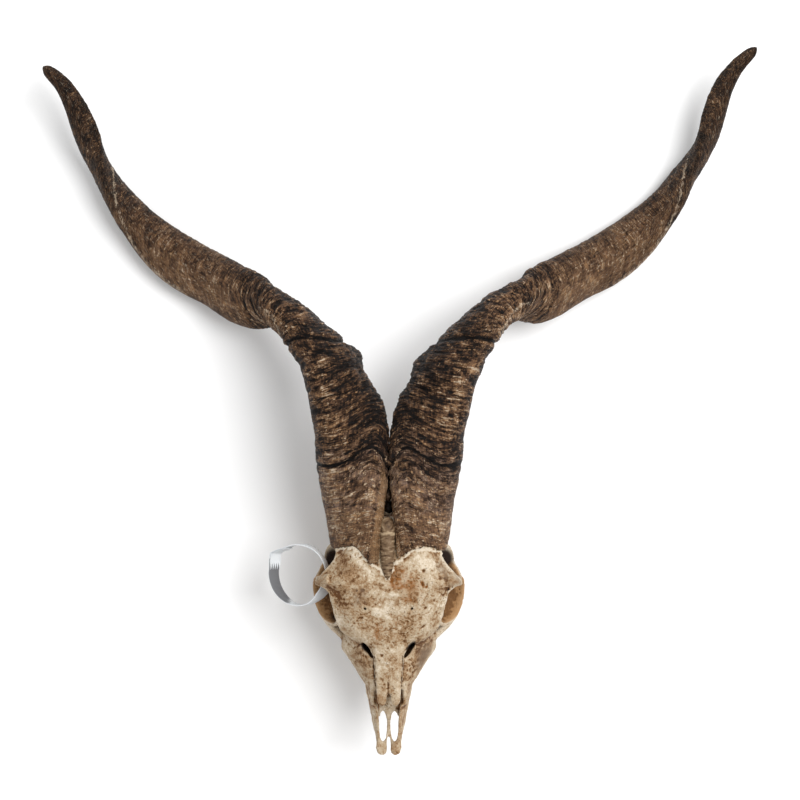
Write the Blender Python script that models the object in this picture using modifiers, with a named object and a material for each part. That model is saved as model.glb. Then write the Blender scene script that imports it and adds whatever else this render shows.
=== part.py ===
"""Goat skull with two long twisted horns, lying on its occiput and on the bends of its horns.

Lengths are in millimetres until a mesh is made. X runs across the skull from its midline to the animal's
left, -Y is towards the nose, and Z is up from the surface that the skull lies on. The forehead faces up.
A bar is a bone with a long shape: rows of x, y, z, half height and half thickness. Its x is on the left side
of the skull, and side -1 mirrors it.
"""

import math

import bmesh
import bpy
import numpy as np
from mathutils import Matrix, Vector

MM = 0.001

# What a cut leaves between two pieces, and where the middle of the skull lies under the bounding box
CLEARANCE = 0.6
MIDLINE_AT = (-9.5, -2.9, 0.0)

# Bone: the grid that fuses the bones, how far it is worn, and the share of its faces that is kept
BONE_GRID = 1.1
BONE_WEAR = 3
BONE_KEPT = 0.0152

# How far the palate leans from the table
PALATE_TILT = math.radians(25)

# The snout: y, roof height, roof half width, then the cheek's upper, widest and lowest points as x and z
SNOUT = (
    (-267, 71, 9.0, 13.6, 96, 16.2, 83, 14.5, 68),
    (-260, 78, 9.5, 14.4, 97, 17.6, 84, 17.0, 64),
    (-253, 100, 10.0, 15, 97.5, 19.0, 84, 19.3, 60.5),
    (-244, 106, 11.0, 18, 98, 25.0, 84, 23.0, 56),
    (-236, 108, 11.5, 21, 99, 30.0, 82, 26.0, 52),
    (-228, 110, 12.0, 24, 99, 35.5, 79, 29.0, 48),
    (-219, 113, 13.0, 27, 100, 42.0, 77, 32.0, 44),
    (-210, 116, 15.0, 31, 103, 41.0, 79, 34.0, 39),
    (-200, 118, 20.0, 33, 104, 37.0, 80, 34.0, 34),
    (-190, 118, 20.0, 31, 100, 32.0, 78, 30.0, 31),
)

# The forehead: y, half width, and the heights of its top, of its edge and of its underside
FOREHEAD = (
    (-213, 22, 115.2, 109, 98),
    (-206, 37, 117.7, 107, 98),
    (-199, 43.5, 120.7, 108, 99),
    (-190, 46.5, 124.2, 112, 101),
    (-182, 48.5, 127.2, 115, 103),
    (-174, 50.5, 129.2, 117, 105),
    (-167, 52.5, 131.5, 118.5, 106),
    (-163, 57.5, 132, 117, 106),
    (-159, 64, 132.5, 114.5, 104),
    (-154.5, 62.5, 133, 116, 105),
    (-149, 57.5, 133, 118, 105),
    (-142.5, 51, 133, 119, 100),
    (-135, 46.5, 132.5, 117, 95),
    (-127, 46, 131, 112, 90),
    (-118, 42, 126, 104, 84),
    (-110, 37, 118, 97, 80),
    (-102, 31, 106, 88, 74),
)

# The nasal bones: y, half width and top; and the tip of each
NASALS = (
    (-200, 12.0, 121.0),
    (-212, 14.0, 117.6),
    (-226, 13.2, 114.3),
    (-240, 12.4, 111.2),
    (-256, 11.6, 107.8),
)
NASAL_TIP = ((5.9, -252, 106.5, 2.3, 5.6), (5.9, -259, 105.2, 2.0, 5.2), (5.7, -264, 104, 1.6, 3.6))
NASAL_TIP += ((5.5, -266, 103.5, 1.0, 1.5),)

# The front of the upper jaw: a leaning blade, a flat lobe at its tip and the rod beside the midline
JAW_BLADE = (
    (16.5, -244, 81, 18.0, 2.6),
    (15.6, -255, 82, 17.5, 2.2),
    (14.0, -265, 83, 15.0, 2.1),
    (12.6, -275, 84, 12.0, 2.1),
    (11.2, -285, 85, 9.0, 2.2),
    (9.3, -294, 86, 6.0, 2.4),
    (8.3, -300, 87, 3.4, 2.8),
)
JAW_LOBE = (
    (7.4, -294, 86.3, 2.6, 3.2),
    (6.6, -299, 86.8, 2.6, 4.0),
    (6.0, -304, 87.2, 2.5, 4.6),
    (5.9, -308, 87.6, 2.2, 4.3),
    (5.8, -310.8, 88, 1.2, 2.4),
)
JAW_ROD = ((3.9, -304, 86, 2, 1.7), (2.4, -298, 84, 1.9, 1.5), (1.3, -291, 81, 1.9, 1.4))
JAW_ROD += ((1.3, -270, 71, 2, 1.5),)
PALATE = ((0, -274, 73.5, 1.8, 9), (0, -268, 70, 2, 12.5), (0, -258, 65.5, 2.2, 15.5), (0, -240, 58, 2.4, 19))
PALATE += ((0, -222, 50, 2.4, 21), (0, -207, 44, 2.2, 20))

# Eye sockets: the middle of the rim, the way that it faces, and rows of depth behind the rim and radius
SOCKET_CENTRE = (56.5, -176.5, 93)
SOCKET_FACING = (0.87, -0.33, 0.36)
SOCKET_WALL = ((0, 24.2), (5, 24.2), (12, 22.0), (20, 18.5), (28, 13.5))
SOCKET_HOLLOW = ((-6, 24.0), (0, 21.0), (8, 20.3), (16, 18.0), (24, 14.0), (31, 9), (37, 4))
CHEEK_BAR = (
    (30, -222, 76, 6, 5),
    (37, -211, 75, 7, 4),
    (46, -203, 74, 7, 3.6),
    (54, -195, 73, 7, 3.4),
    (60, -185, 72, 6.5, 3.2),
    (63.5, -174, 71, 6.0, 3.0),
    (64, -162, 69, 5.6, 3.0),
    (60.5, -152, 66, 5.2, 3.0),
    (55.7, -145, 62, 4.8, 3.0),
    (52.5, -138, 58, 4.6, 3.2),
    (47, -131, 57, 5.0, 4.5),
    (36, -125, 58, 7.0, 6.0),
)
BAR_BEHIND_EYE = (
    (50, -155, 124, 5.0, 6),
    (57, -156.5, 118, 5.0, 4.6),
    (61.5, -158, 110, 4.8, 3.6),
    (63.2, -158.5, 97, 4.6, 3.0),
    (63.2, -159, 84, 4.6, 3.0),
    (62.5, -160, 70, 6.0, 3.4),
)

# The braincase and what is under it
SOCKET_BRIDGE = ((0, -214, 92, 22, 14), (0, -190, 94, 26, 16), (0, -165, 94, 28, 18), (0, -138, 90, 30, 24))
SKULL_BASE = ((0, -164, 50, 5, 8), (0, -145, 38, 5.5, 10), (0, -122, 24, 6, 10), (0, -108, 16, 5, 10))
NECK_CREST = (
    (-33, -110, 50, 4, 4),
    (-25, -96, 62, 3.4, 3.8),
    (-12, -89, 70, 3, 4),
    (0, -87, 72, 3.6, 4.6),
    (12, -89, 70, 3, 4),
    (25, -96, 62, 3.4, 3.8),
    (33, -110, 50, 4, 4),
)
NECK_PROCESS = ((26, -106, 36, 9, 6), (30, -113, 22, 6, 4.5), (31.5, -119, 9, 4, 3))
NECK_PROCESS += ((31.5, -122.4, 0.55, 2.4, 2),)
EAR_TUBE = ((24, -134, 34, 5, 5), (32, -130, 38, 4.5, 4.5), (40, -127, 41, 4, 4))
THROAT_PLATE = ((15, -212, 50, 6, 2), (13.5, -196, 46, 9, 1.8), (12.5, -180, 42, 8.5, 1.7))
THROAT_PLATE += ((12, -160, 45, 8, 2.2),)

# The stump of bone inside each sheath
STUMP = ((28, -142, 100, 24, 15), (28, -126, 105, 28, 16), (28.5, -110, 110, 28, 16))
STUMP += ((29, -96, 114, 26, 14.5), (29.3, -88, 116, 19, 10))
STUMP_ROLL = -27

# The room for the brain: its middle and radii, and how much wider the cut is that keeps the horns out
BRAIN_CENTRE = (0, -128, 73)
BRAIN_RADII = (28.5, 35, 30.5)
BRAIN_MARGIN = 2.5

# Hollows: the nose, the throat, the way in for the spinal cord, and the small ones on each side
NOSE_HOLLOW = ((0, -272, 86, 15, 11), (0, -252, 84, 18, 12.5), (0, -232, 80, 22, 15.5), (0, -210, 80, 23, 15))
NOSE_HOLLOW += ((0, -198, 76, 18, 11),)
THROAT_HOLLOW = ((0, -214, 66, 10, 12), (0, -198, 57, 10, 10.5), (0, -182, 46, 9, 9.5), (0, -160, 36, 9, 9))
CORD_HOLLOW = ((0, -124, 46, 9, 10), (0, -108, 33, 9.5, 10), (0, -92, 25, 10.5, 11), (0, -80, 19, 13, 13))
TEAR_SLIT = ((24.0, -212, 102, 16, 1.5), (18.5, -219.5, 102, 16, 1.9), (13.6, -228, 102, 15, 1.2))
BROW_HOLE = ((21, -179.5, 140, 1.7, 1.5), (20, -180.5, 118, 1.7, 1.5))
CHEEK_HOLE = ((31, -262, 78, 2.6, 2.2), (23, -246, 76, 2.6, 2.2), (14, -234, 74, 2.6, 2.2))
EAR_HOLE = ((46, -127, 42, 2, 2), (33, -129, 38, 2, 2))

# Horns: rings along each sheath, corners around it, and its length
HORN_RINGS = 50
HORN_SIDES = 14
HORN_LENGTH = 580.0

# Where the sheath narrows in a ring, and where its keel bulges: place along the horn, width and share
HORN_GROOVES = ((62, 5, 0.05), (178, 6, 0.05), (300, 8, 0.03))
HORN_KNOBS = {
    -1: ((128, 14, 0.03), (181, 9, 0.26), (262, 12, 0.05)),
    1: ((126, 8, 0.05), (154, 9, 0.16), (188, 9, 0.18), (262, 12, 0.05)),
}

# How much narrower the keel side of the lens is, and how near its edge a bulge reaches
KEEL_SHARPNESS = 0.25
KNOB_EDGE = 0.85

# The rim of the sheath: how far it reaches forward, from its outer to its inner side, and back under it
RIM_ACROSS = (-25, -10, 0, 8, 14, 19)
RIM_FORWARD = (-5, 0, 0, -10, -14, -19)
RIM_FADE = 28
RIM_RISE = 12
REAR_SLANT = 0.95
REAR_FADE = 90

# Each horn: x, y, z of its middle, half its long and its thin side, and the turn of its keel in degrees
RIGHT_HORN = (
    (-27.9, -126.4, 106.0, 33.8, 19.9, 23),
    (-28.3, -105.1, 112.0, 33.8, 20.1, 34),
    (-29.3, -84.9, 117.0, 33.6, 20.2, 46),
    (-29.9, -64.9, 120.0, 34.0, 20.4, 60),
    (-31.4, -44.1, 121.0, 33.0, 20.1, 70),
    (-32.3, -24.2, 120.5, 32.1, 19.8, 82),
    (-37.4, -5.1, 117.0, 31.2, 19.6, 108),
    (-43.7, 14.4, 111.5, 30.3, 19.4, 128),
    (-51.4, 33.9, 104.0, 29.9, 18.9, 138),
    (-63.9, 50.3, 94.0, 28.5, 17.5, 152),
    (-78.2, 65.1, 82.0, 26.9, 16.2, 168),
    (-95.4, 78.4, 69.0, 25.7, 15.4, 180),
    (-115.3, 85.9, 55.0, 25.1, 14.9, 235),
    (-135.6, 96.0, 41.1, 24.3, 14.6, 258),
    (-154.4, 106.6, 29.6, 23.4, 14.1, 265),
    (-174.2, 116.6, 20.7, 23.6, 14.2, 272),
    (-192.8, 128.1, 16.7, 23.3, 14.1, 281),
    (-209.5, 141.3, 15.9, 21.3, 13.4, 290),
    (-224.6, 156.0, 16.8, 18.8, 12.0, 304),
    (-238.1, 171.8, 20.0, 17.2, 11.1, 318),
    (-249.8, 188.8, 24.5, 15.8, 10.2, 339),
    (-259.1, 206.8, 30.0, 14.2, 9.1, 360),
    (-266.6, 225.0, 36.0, 13.4, 8.7, 395),
    (-273.6, 244.4, 42.0, 11.9, 7.7, 425),
    (-281.2, 263.0, 47.0, 9.4, 6.1, 440),
    (-290.8, 280.2, 52.0, 7.2, 4.7, 452),
    (-303.0, 292.6, 55.6, 5.3, 3.6, 462),
    (-308.6, 297.4, 57.0, 3.0, 2.2, 468),
)
LEFT_HORN = (
    (28.4, -126.4, 106.0, 34.0, 20.6, 23),
    (28.4, -104.3, 112.0, 34.0, 20.6, 34),
    (29.2, -83.1, 117.0, 33.6, 20.2, 46),
    (30.7, -62.3, 120.0, 34.2, 20.4, 60),
    (32.2, -40.7, 121.0, 33.4, 20.3, 70),
    (35.0, -19.9, 120.5, 31.7, 19.6, 82),
    (41.8, 0.1, 117.0, 30.6, 19.2, 108),
    (48.0, 20.5, 111.5, 30.6, 19.6, 128),
    (59.3, 39.3, 104.0, 29.1, 18.4, 138),
    (72.5, 56.9, 94.0, 27.2, 16.8, 152),
    (87.6, 72.7, 82.0, 26.2, 15.8, 168),
    (106.1, 85.1, 69.0, 25.2, 15.1, 180),
    (128.1, 91.2, 55.0, 25.3, 15.0, 235),
    (148.4, 102.3, 41.1, 24.0, 14.3, 258),
    (168.6, 112.9, 29.6, 23.1, 13.9, 265),
    (189.7, 123.4, 20.7, 23.6, 14.2, 272),
    (208.3, 135.4, 16.7, 23.2, 14.0, 281),
    (225.8, 149.9, 15.9, 21.2, 13.3, 290),
    (241.5, 165.5, 16.8, 18.6, 11.9, 304),
    (255.4, 181.8, 20.0, 16.7, 10.7, 318),
    (266.6, 200.5, 24.5, 15.3, 9.9, 339),
    (278.2, 218.5, 30.0, 13.9, 8.9, 360),
    (286.6, 237.6, 36.0, 12.3, 7.9, 395),
    (292.2, 257.8, 42.0, 10.8, 7.0, 425),
    (298.9, 278.2, 47.0, 9.0, 5.8, 440),
    (309.5, 295.9, 52.0, 6.7, 4.4, 452),
    (322.6, 309.2, 55.6, 4.8, 3.3, 462),
    (328.0, 314.6, 57.2, 2.6, 1.9, 468),
)

# The nub between the horns
NUB = (
    (0, -155, 133.0, 1.0, 1.2),
    (0, -148, 133.8, 3.0, 3.4),
    (0, -138, 134.0, 4.6, 5.0),
    (0, -126, 134.0, 6.0, 5.6),
    (0, -114, 133.5, 6.6, 5.0),
    (0, -105, 132.5, 6.4, 3.7),
    (0, -98, 129.5, 5.2, 2.7),
    (0, -90, 126.0, 4.5, 2.1),
    (0, -82, 124.5, 3.8, 1.5),
    (0, -77, 124.3, 2.0, 0.8),
)

# Cheek teeth from the front: length, width and lobes; and the line that their chewing faces follow
TEETH = ((7.6, 7.0, 1), (8.6, 8.0, 1), (9.0, 9.0, 1), (11.6, 10.0, 2), (13.2, 10.6, 2), (14.0, 10.2, 2))
ROW_FRONT = (0, -254, 51.6)
ROW_WAY = (0, 0.906, -0.423)
ROW_ALONG = (0, 8, 17, 26, 38, 50, 64)
ROW_ACROSS = (15.5, 17.5, 20, 22.5, 25.5, 28, 29.5)
CROWN_UP = (0, 0.423, 0.906)
ROOT_TOP = 12.0
CROWN_BULGE = 4.0
CHEW_HOLLOW = 1.3
TOOTH_SPACE = 0.4

# The tag's strap: a ring round the bar behind the eye, leaning outwards, and the notched patch on its joint
STRAP_CENTRE = (-78, -154, 80)
STRAP_RADII = (27.6, 26.4)
STRAP_LEAN = math.radians(30)
STRAP_WIDTH = 12.0
STRAP_THICKNESS = 0.8
STRAP_STEPS = 32
PATCH_FROM, PATCH_TO, PATCH_STEPS = 125, 160, 9
PATCH_NOTCH = 3.0

BONE_COLOUR = (0.66, 0.56, 0.42)
HORN_COLOUR = (0.16, 0.10, 0.065)
NUB_COLOUR = (0.22, 0.18, 0.12)
TOOTH_COLOUR = (0.78, 0.72, 0.58)
STRAP_COLOUR = (0.86, 0.87, 0.90)


def catmull(points, count, closed=False):
    """Points read at even steps along a smooth curve through the given rows."""
    rows = np.array(points, float)
    if closed:
        padded = np.vstack([rows[-1:], rows, rows[:2]])
    else:
        padded = np.vstack([2 * rows[:1] - rows[1:2], rows, 2 * rows[-1:] - rows[-2:-1]])
    spans = len(padded) - 3
    read = []
    for place in np.linspace(0, spans, count, endpoint=not closed):
        i = min(int(place), spans - 1)
        t = place - i
        a, b, c, d = padded[i : i + 4]
        bend = 2 * a - 5 * b + 4 * c - d
        turn = 3 * b - a - 3 * c + d
        read.append(b + 0.5 * ((c - a) * t + bend * t**2 + turn * t**3))
    return np.array(read)


def even_steps(points, count, dense=12):
    """The same curve, with its points at equal distances."""
    fine = catmull(points, dense * len(points))
    along = np.r_[0, np.cumsum(np.linalg.norm(np.diff(fine[:, :3], axis=0), axis=1))]
    places = np.linspace(0, along[-1], count)
    return np.stack([np.interp(places, along, column) for column in fine.T], 1)


def bridge(bm, rings, closed=False):
    """Joins rings of equally many corners, and fills both ends of an open run."""
    made = [[bm.verts.new(Vector(corner) * MM) for corner in ring] for ring in rings]
    pairs = list(zip(made, made[1:]))
    if closed:
        pairs.append((made[-1], made[0]))
    for low, high in pairs:
        for i in range(len(low)):
            j = (i + 1) % len(low)
            bm.faces.new((low[i], low[j], high[j], high[i]))
    if not closed:
        bm.faces.new(made[0][::-1])
        bm.faces.new(made[-1])


def ring_frames(centres, lean):
    """For each centre, the tangent, the direction across it that is nearest to lean, and the side."""
    frames = []
    for t in np.gradient(np.array(centres, float), axis=0):
        t = t / np.linalg.norm(t)
        up = np.array(lean, float)
        up = up - up.dot(t) * t
        up = up / np.linalg.norm(up)
        frames.append((t, up, np.cross(t, up)))
    return frames


def bar(bm, stations, side=1, roll=0, sides=12, steps=16, lean=(0, 0, 1)):
    """A bar of bone through its stations."""
    rows = catmull(stations, steps)
    rows[:, 0] *= side
    turn = math.radians(roll) * side
    angles = np.linspace(0, 2 * math.pi, sides, endpoint=False)
    rings = []
    for (t, up, across), row in zip(ring_frames(rows[:, :3], lean), rows):
        high = up * math.cos(turn) + across * math.sin(turn)
        wide = np.cross(t, high)
        rings.append([row[:3] + high * row[3] * math.cos(a) + wide * row[4] * math.sin(a) for a in angles])
    bridge(bm, rings)


def ellipsoid(bm, centre, radii, tilt=0.0, side=1):
    """A rounded mass, tilted about the X axis."""
    place = Matrix.Translation(Vector((centre[0] * side, centre[1], centre[2])) * MM)
    shape = place @ Matrix.Rotation(tilt, 4, "X") @ Matrix.Diagonal((*(r * MM for r in radii), 1))
    bmesh.ops.create_uvsphere(bm, u_segments=28, v_segments=16, radius=1, matrix=shape)


def loft(bm, sections, corners, steps):
    """A body on the midline: rows of y, then x and z pairs from the top middle to the bottom middle."""
    rings = []
    for row in catmull(sections, steps):
        half = row[1:].reshape(-1, 2)
        other_half = half[-2:0:-1] * (-1, 1)
        outline = catmull(np.vstack([half, other_half]), corners, closed=True)
        rings.append([(x, row[0], z) for x, z in outline])
    bridge(bm, rings)


def solid(name, bm, collection, smooth=True):
    """The finished bmesh as an object, with its faces pointing out."""
    bmesh.ops.recalc_face_normals(bm, faces=bm.faces)
    mesh = bpy.data.meshes.new(name)
    bm.to_mesh(mesh)
    bm.free()
    if smooth:
        mesh.shade_smooth()
    made = bpy.data.objects.new(name, mesh)
    collection.objects.link(made)
    return made


def boolean(piece, name, operation, other, crosses_itself=False):
    """A live Boolean on the piece."""
    made = piece.modifiers.new(name, "BOOLEAN")
    made.operation = operation
    made.object = other
    made.use_self = crosses_itself


def remesh(piece, name):
    """A live grid that fuses what overlaps."""
    made = piece.modifiers.new(name, "REMESH")
    made.mode = "VOXEL"
    made.voxel_size = BONE_GRID * MM


def finish(piece, colour, roughness):
    """Gives the piece a plain finish of its own."""
    look = bpy.data.materials.new(f"{piece.name}_finish")
    look.use_nodes = True
    shader = look.node_tree.nodes["Principled BSDF"]
    shader.inputs["Base Color"].default_value = (*colour, 1)
    shader.inputs["Roughness"].default_value = roughness
    piece.data.materials.append(look)


def snout(bm):
    """The maxillae, from the roof of the nose over the cheek to the palate."""
    rows = []
    for y, top, roof, x1, z1, x2, z2, x3, z3 in SNOUT:
        upper = (0, top, roof * 0.6, top - 0.4, roof, top - 3, x1, z1)
        lower = (x2, z2, x3, z3, x3 - 3.5, z3 - 1, x3 - 10, z3 + 2, x3 - 13, z3 + 6, 0, z3 + 7)
        rows.append((y, *upper, *lower))
    loft(bm, rows, corners=44, steps=34)


def forehead(bm):
    """The frontal bones: a slab that is widest over the eyes."""
    rows = []
    for y, wide, top, edge, under in FOREHEAD:
        upper = (0, top, wide * 0.33, top + 0.4, wide * 0.66, top - 1.6, wide * 0.92, edge + 3)
        rows.append((y, *upper, wide, edge - 1, wide * 0.9, edge - 6, wide * 0.55, under + 2, 0, under))
    loft(bm, rows, corners=40, steps=52)


def nasal_bones(bm):
    """The two nasal bones: an arched roof with two rounded tips over the opening of the nose."""
    rows = []
    for y, wide, top in NASALS:
        upper = (0, top - 0.5, wide * 0.5, top + 0.4, wide * 0.85, top - 1.6)
        rows.append((y, *upper, wide, top - 5, wide * 0.85, top - 6, wide * 0.5, top - 4, 0, top - 4))
    loft(bm, rows, corners=28, steps=24)
    for side in (-1, 1):
        bar(bm, NASAL_TIP, side)


def jaw_front(bm):
    """The front of the upper jaw and the palate behind it."""
    for side in (-1, 1):
        bar(bm, JAW_BLADE, side, roll=15, steps=22)
        bar(bm, JAW_LOBE, side)
        bar(bm, JAW_ROD, side)
    bar(bm, PALATE, sides=20)


def socket_cone(bm, side, rows):
    """A cone about the axis of an eye socket."""
    centre = Vector((SOCKET_CENTRE[0] * side, *SOCKET_CENTRE[1:]))
    facing = Vector((SOCKET_FACING[0] * side, *SOCKET_FACING[1:])).normalized()
    stations = [(*(centre - facing * depth), radius, radius) for depth, radius in rows]
    bar(bm, stations, sides=28, steps=10)


def sockets_and_cheeks(bm):
    """The rims of the eye sockets, the cheek bones with their arches, and the bars behind the eyes."""
    for side in (-1, 1):
        socket_cone(bm, side, SOCKET_WALL)
        bar(bm, CHEEK_BAR, side, steps=30)
        bar(bm, BAR_BEHIND_EYE, side, lean=(0, 1, 0), steps=20)
        ellipsoid(bm, (27, -200, 50), (8.5, 17, 18), -PALATE_TILT, side)


def braincase(bm):
    """The braincase, the crest for the neck muscles, the ear bones, and the knobs that carry the neck."""
    bar(bm, SOCKET_BRIDGE, sides=20)
    ellipsoid(bm, (0, -127, 72), (34.5, 42, 37), -PALATE_TILT)
    ellipsoid(bm, (0, -104, 47), (30, 15, 27), -PALATE_TILT)
    bar(bm, SKULL_BASE)
    bar(bm, NECK_CREST, steps=24, lean=(0, 1, 1))
    for side in (-1, 1):
        ellipsoid(bm, (14.5, -103, 17), (9.5, 11, 13), PALATE_TILT, side)
        ellipsoid(bm, (23, -140, 27), (8.5, 13, 10), PALATE_TILT, side)
        ellipsoid(bm, (33, -122, 52), (8, 14, 15), 0, side)
        bar(bm, NECK_PROCESS, side, lean=(0, 1, 0))
        bar(bm, EAR_TUBE, side)
        bar(bm, THROAT_PLATE, side)


def stumps(bm):
    """The stumps of bone that the sheaths sit on."""
    for side in (-1, 1):
        bar(bm, STUMP, side, roll=STUMP_ROLL, sides=18)


def carve(bm):
    """Everything that is hollow."""
    bar(bm, NOSE_HOLLOW, sides=20)
    bar(bm, THROAT_HOLLOW, sides=16)
    bar(bm, CORD_HOLLOW, sides=16)
    ellipsoid(bm, BRAIN_CENTRE, BRAIN_RADII, -PALATE_TILT)
    for side in (-1, 1):
        socket_cone(bm, side, SOCKET_HOLLOW)
        ellipsoid(bm, (47.6, -150, 88), (12.6, 18.4, 20.4), 0, side)
        bar(bm, TEAR_SLIT, side, sides=10)
        bar(bm, BROW_HOLE, side, sides=8, lean=(0, 1, 0))
        bar(bm, CHEEK_HOLE, side, sides=8)
        bar(bm, EAR_HOLE, side, sides=8)


def build_skull(parts, cutters):
    """Fuses the bones on a fine grid, carves them, and thins the faces out to the ones that show."""
    bones = bmesh.new()
    for add in (snout, forehead, nasal_bones, jaw_front, sockets_and_cheeks, braincase, stumps):
        add(bones)
    skull = solid("skull", bones, parts)
    hollows = bmesh.new()
    carve(hollows)
    cutter = solid("skull_hollows", hollows, cutters)
    remesh(cutter, "fuse")
    remesh(skull, "fuse")
    boolean(skull, "hollows", "DIFFERENCE", cutter)
    remesh(skull, "even")
    worn = skull.modifiers.new("worn", "SMOOTH")
    worn.factor = 0.5
    worn.iterations = BONE_WEAR
    facets = skull.modifiers.new("facets", "DECIMATE")
    facets.ratio = BONE_KEPT
    finish(skull, BONE_COLOUR, 0.7)
    return skull


def tooth_outline(long, wide, lobes, grow):
    """The outline of a crown: each lobe bulges, with a fold where it meets the next."""
    span = long / lobes
    cheek = []
    for i in range(lobes):
        middle = (i + 0.5) * span - long / 2
        cheek.append((middle - span * 0.46, wide * 0.34))
        cheek.append((middle, wide * 0.5))
        cheek.append((middle + span * 0.46, wide * 0.34))
    tongue = [(x, -z) for x, z in cheek[::-1]]
    ring = np.array(cheek + tongue, float)
    return ring * (1 + grow / np.abs(ring).max(0))


def add_tooth(bm, start, tooth, side, grow=0.0):
    """A cheek tooth from its root in the bone to its hollow chewing face, or the hole that it needs."""
    long, wide, lobes = tooth
    along = start + long / 2
    centre = np.array(ROW_FRONT) + np.array(ROW_WAY) * along
    centre[0] = np.interp(along, ROW_ALONG, ROW_ACROSS)
    outline = tooth_outline(long - TOOTH_SPACE, wide, lobes, grow)

    def ring(height, scale):
        made = []
        for x, z in outline:
            corner = centre + np.array(CROWN_UP) * height + np.array(ROW_WAY) * x * scale
            made.append(((corner[0] + z * scale) * side, corner[1], corner[2]))
        return made

    rings = [ring(ROOT_TOP + grow, 0.86), ring(CROWN_BULGE, 1.0), ring(0, 0.97)]
    if not grow:
        rings.append(ring(CHEW_HOLLOW, 0.55))
    bridge(bm, rings)


def build_teeth(parts, cutters, skull):
    """The row of teeth on each side, each tooth in a hole that is a little wider than its root."""
    holes = bmesh.new()
    for side, word in ((-1, "right"), (1, "left")):
        start = 0.0
        for number, tooth in enumerate(TEETH, 1):
            bm = bmesh.new()
            add_tooth(bm, start, tooth, side)
            made = solid(f"tooth_{word}_{number}", bm, parts, smooth=False)
            finish(made, TOOTH_COLOUR, 0.35)
            add_tooth(holes, start, tooth, side, CLEARANCE)
            start += tooth[0]
    cutter = solid("tooth_holes", holes, cutters, smooth=False)
    boolean(skull, "tooth_holes", "DIFFERENCE", cutter, crosses_itself=True)


def seat_cutters(skull, cutters):
    """What cuts the pieces that sit on the bone: the brain's room, and the skull grown by the clearance."""
    graph = bpy.context.evaluated_depsgraph_get()
    mesh = bpy.data.meshes.new_from_object(skull.evaluated_get(graph))
    grown = bpy.data.objects.new("grown_skull", mesh)
    cutters.objects.link(grown)
    grow = grown.modifiers.new("grow", "DISPLACE")
    grow.strength = CLEARANCE * MM
    grow.mid_level = 0
    room = bmesh.new()
    radii = [radius + BRAIN_MARGIN for radius in BRAIN_RADII]
    ellipsoid(room, BRAIN_CENTRE, radii, -PALATE_TILT)
    return (solid("brain_room", room, cutters), grown)


def cut_to_bone(piece, cutters):
    """Cuts the piece by each of the seat's cutters, which may cross themselves where they have grown."""
    for cutter in cutters:
        boolean(piece, cutter.name, "DIFFERENCE", cutter, crosses_itself=True)


def bump_sum(bumps, place):
    """The height of a row of rounded bumps at one place."""
    return sum(height * math.exp(-(((place - at) / width) ** 2)) for at, width, height in bumps)


def slant_rim(ring, centre, side, place):
    """Slants the first rings so that the sheath's rim follows the bone under it."""
    inward = (centre[0] - ring[:, 0]) * side
    above = ring[:, 2] - centre[2]
    forward = np.interp(inward, RIM_ACROSS, RIM_FORWARD) * np.clip(above / RIM_RISE, 0, 1)
    backward = np.clip(-above, 0, None) * REAR_SLANT
    ring[:, 1] += forward * max(0, 1 - place / RIM_FADE) + backward * max(0, 1 - place / REAR_FADE)
    return ring


def horn_rings(stations, side):
    """Rings of a sheath: a lens across the tangent, whose sharp keel winds round the horn."""
    rows = even_steps(stations, HORN_RINGS)
    places = np.linspace(0, HORN_LENGTH, HORN_RINGS)
    rings = []
    for (t, up, across), row, place in zip(ring_frames(rows[:, :3], (0, 0, 1)), rows, places):
        turn = math.radians(row[5])
        keel = up * math.cos(turn) - across * (side * math.sin(turn))
        flat = np.cross(t, keel)
        swell = 1 - bump_sum(HORN_GROOVES, place)
        knob = 1 + bump_sum(HORN_KNOBS[side], place)
        ring = []
        for a in np.linspace(0, 2 * math.pi, HORN_SIDES, endpoint=False):
            sharp = math.cos(a)
            high = row[3] * sharp * swell * (knob if sharp > KNOB_EDGE else 1)
            wide = row[4] * math.sin(a) * (1 - KEEL_SHARPNESS * sharp) * swell
            ring.append(row[:3] + keel * high + flat * wide)
        rings.append(slant_rim(np.array(ring), row[:3], side, place))
    return rings


def build_horn(name, stations, side, parts, seat):
    """One sheath, cut to the bone that it sits on."""
    bm = bmesh.new()
    bridge(bm, horn_rings(stations, side))
    horn = solid(name, bm, parts)
    cut_to_bone(horn, seat)
    finish(horn, HORN_COLOUR, 0.5)


def build_nub(parts, seat):
    """The small growth of horn on the midline, between the two sheaths."""
    bm = bmesh.new()
    bar(bm, NUB, sides=10, steps=13)
    nub = solid("midline_nub", bm, parts)
    cut_to_bone(nub, seat)
    finish(nub, NUB_COLOUR, 0.55)


def strap_point(angle, out, up):
    """A point of the strap: an angle round its ring, a distance out of it and one along its axis."""
    axis = np.array((-math.sin(STRAP_LEAN), 0, math.cos(STRAP_LEAN)))
    level = np.array((math.cos(STRAP_LEAN), 0, math.sin(STRAP_LEAN)))
    a = math.radians(angle)
    x = (STRAP_RADII[0] + out) * math.cos(a)
    y = (STRAP_RADII[1] + out) * math.sin(a)
    return np.array(STRAP_CENTRE) + level * x + np.array((0, y, 0)) + axis * up


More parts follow.
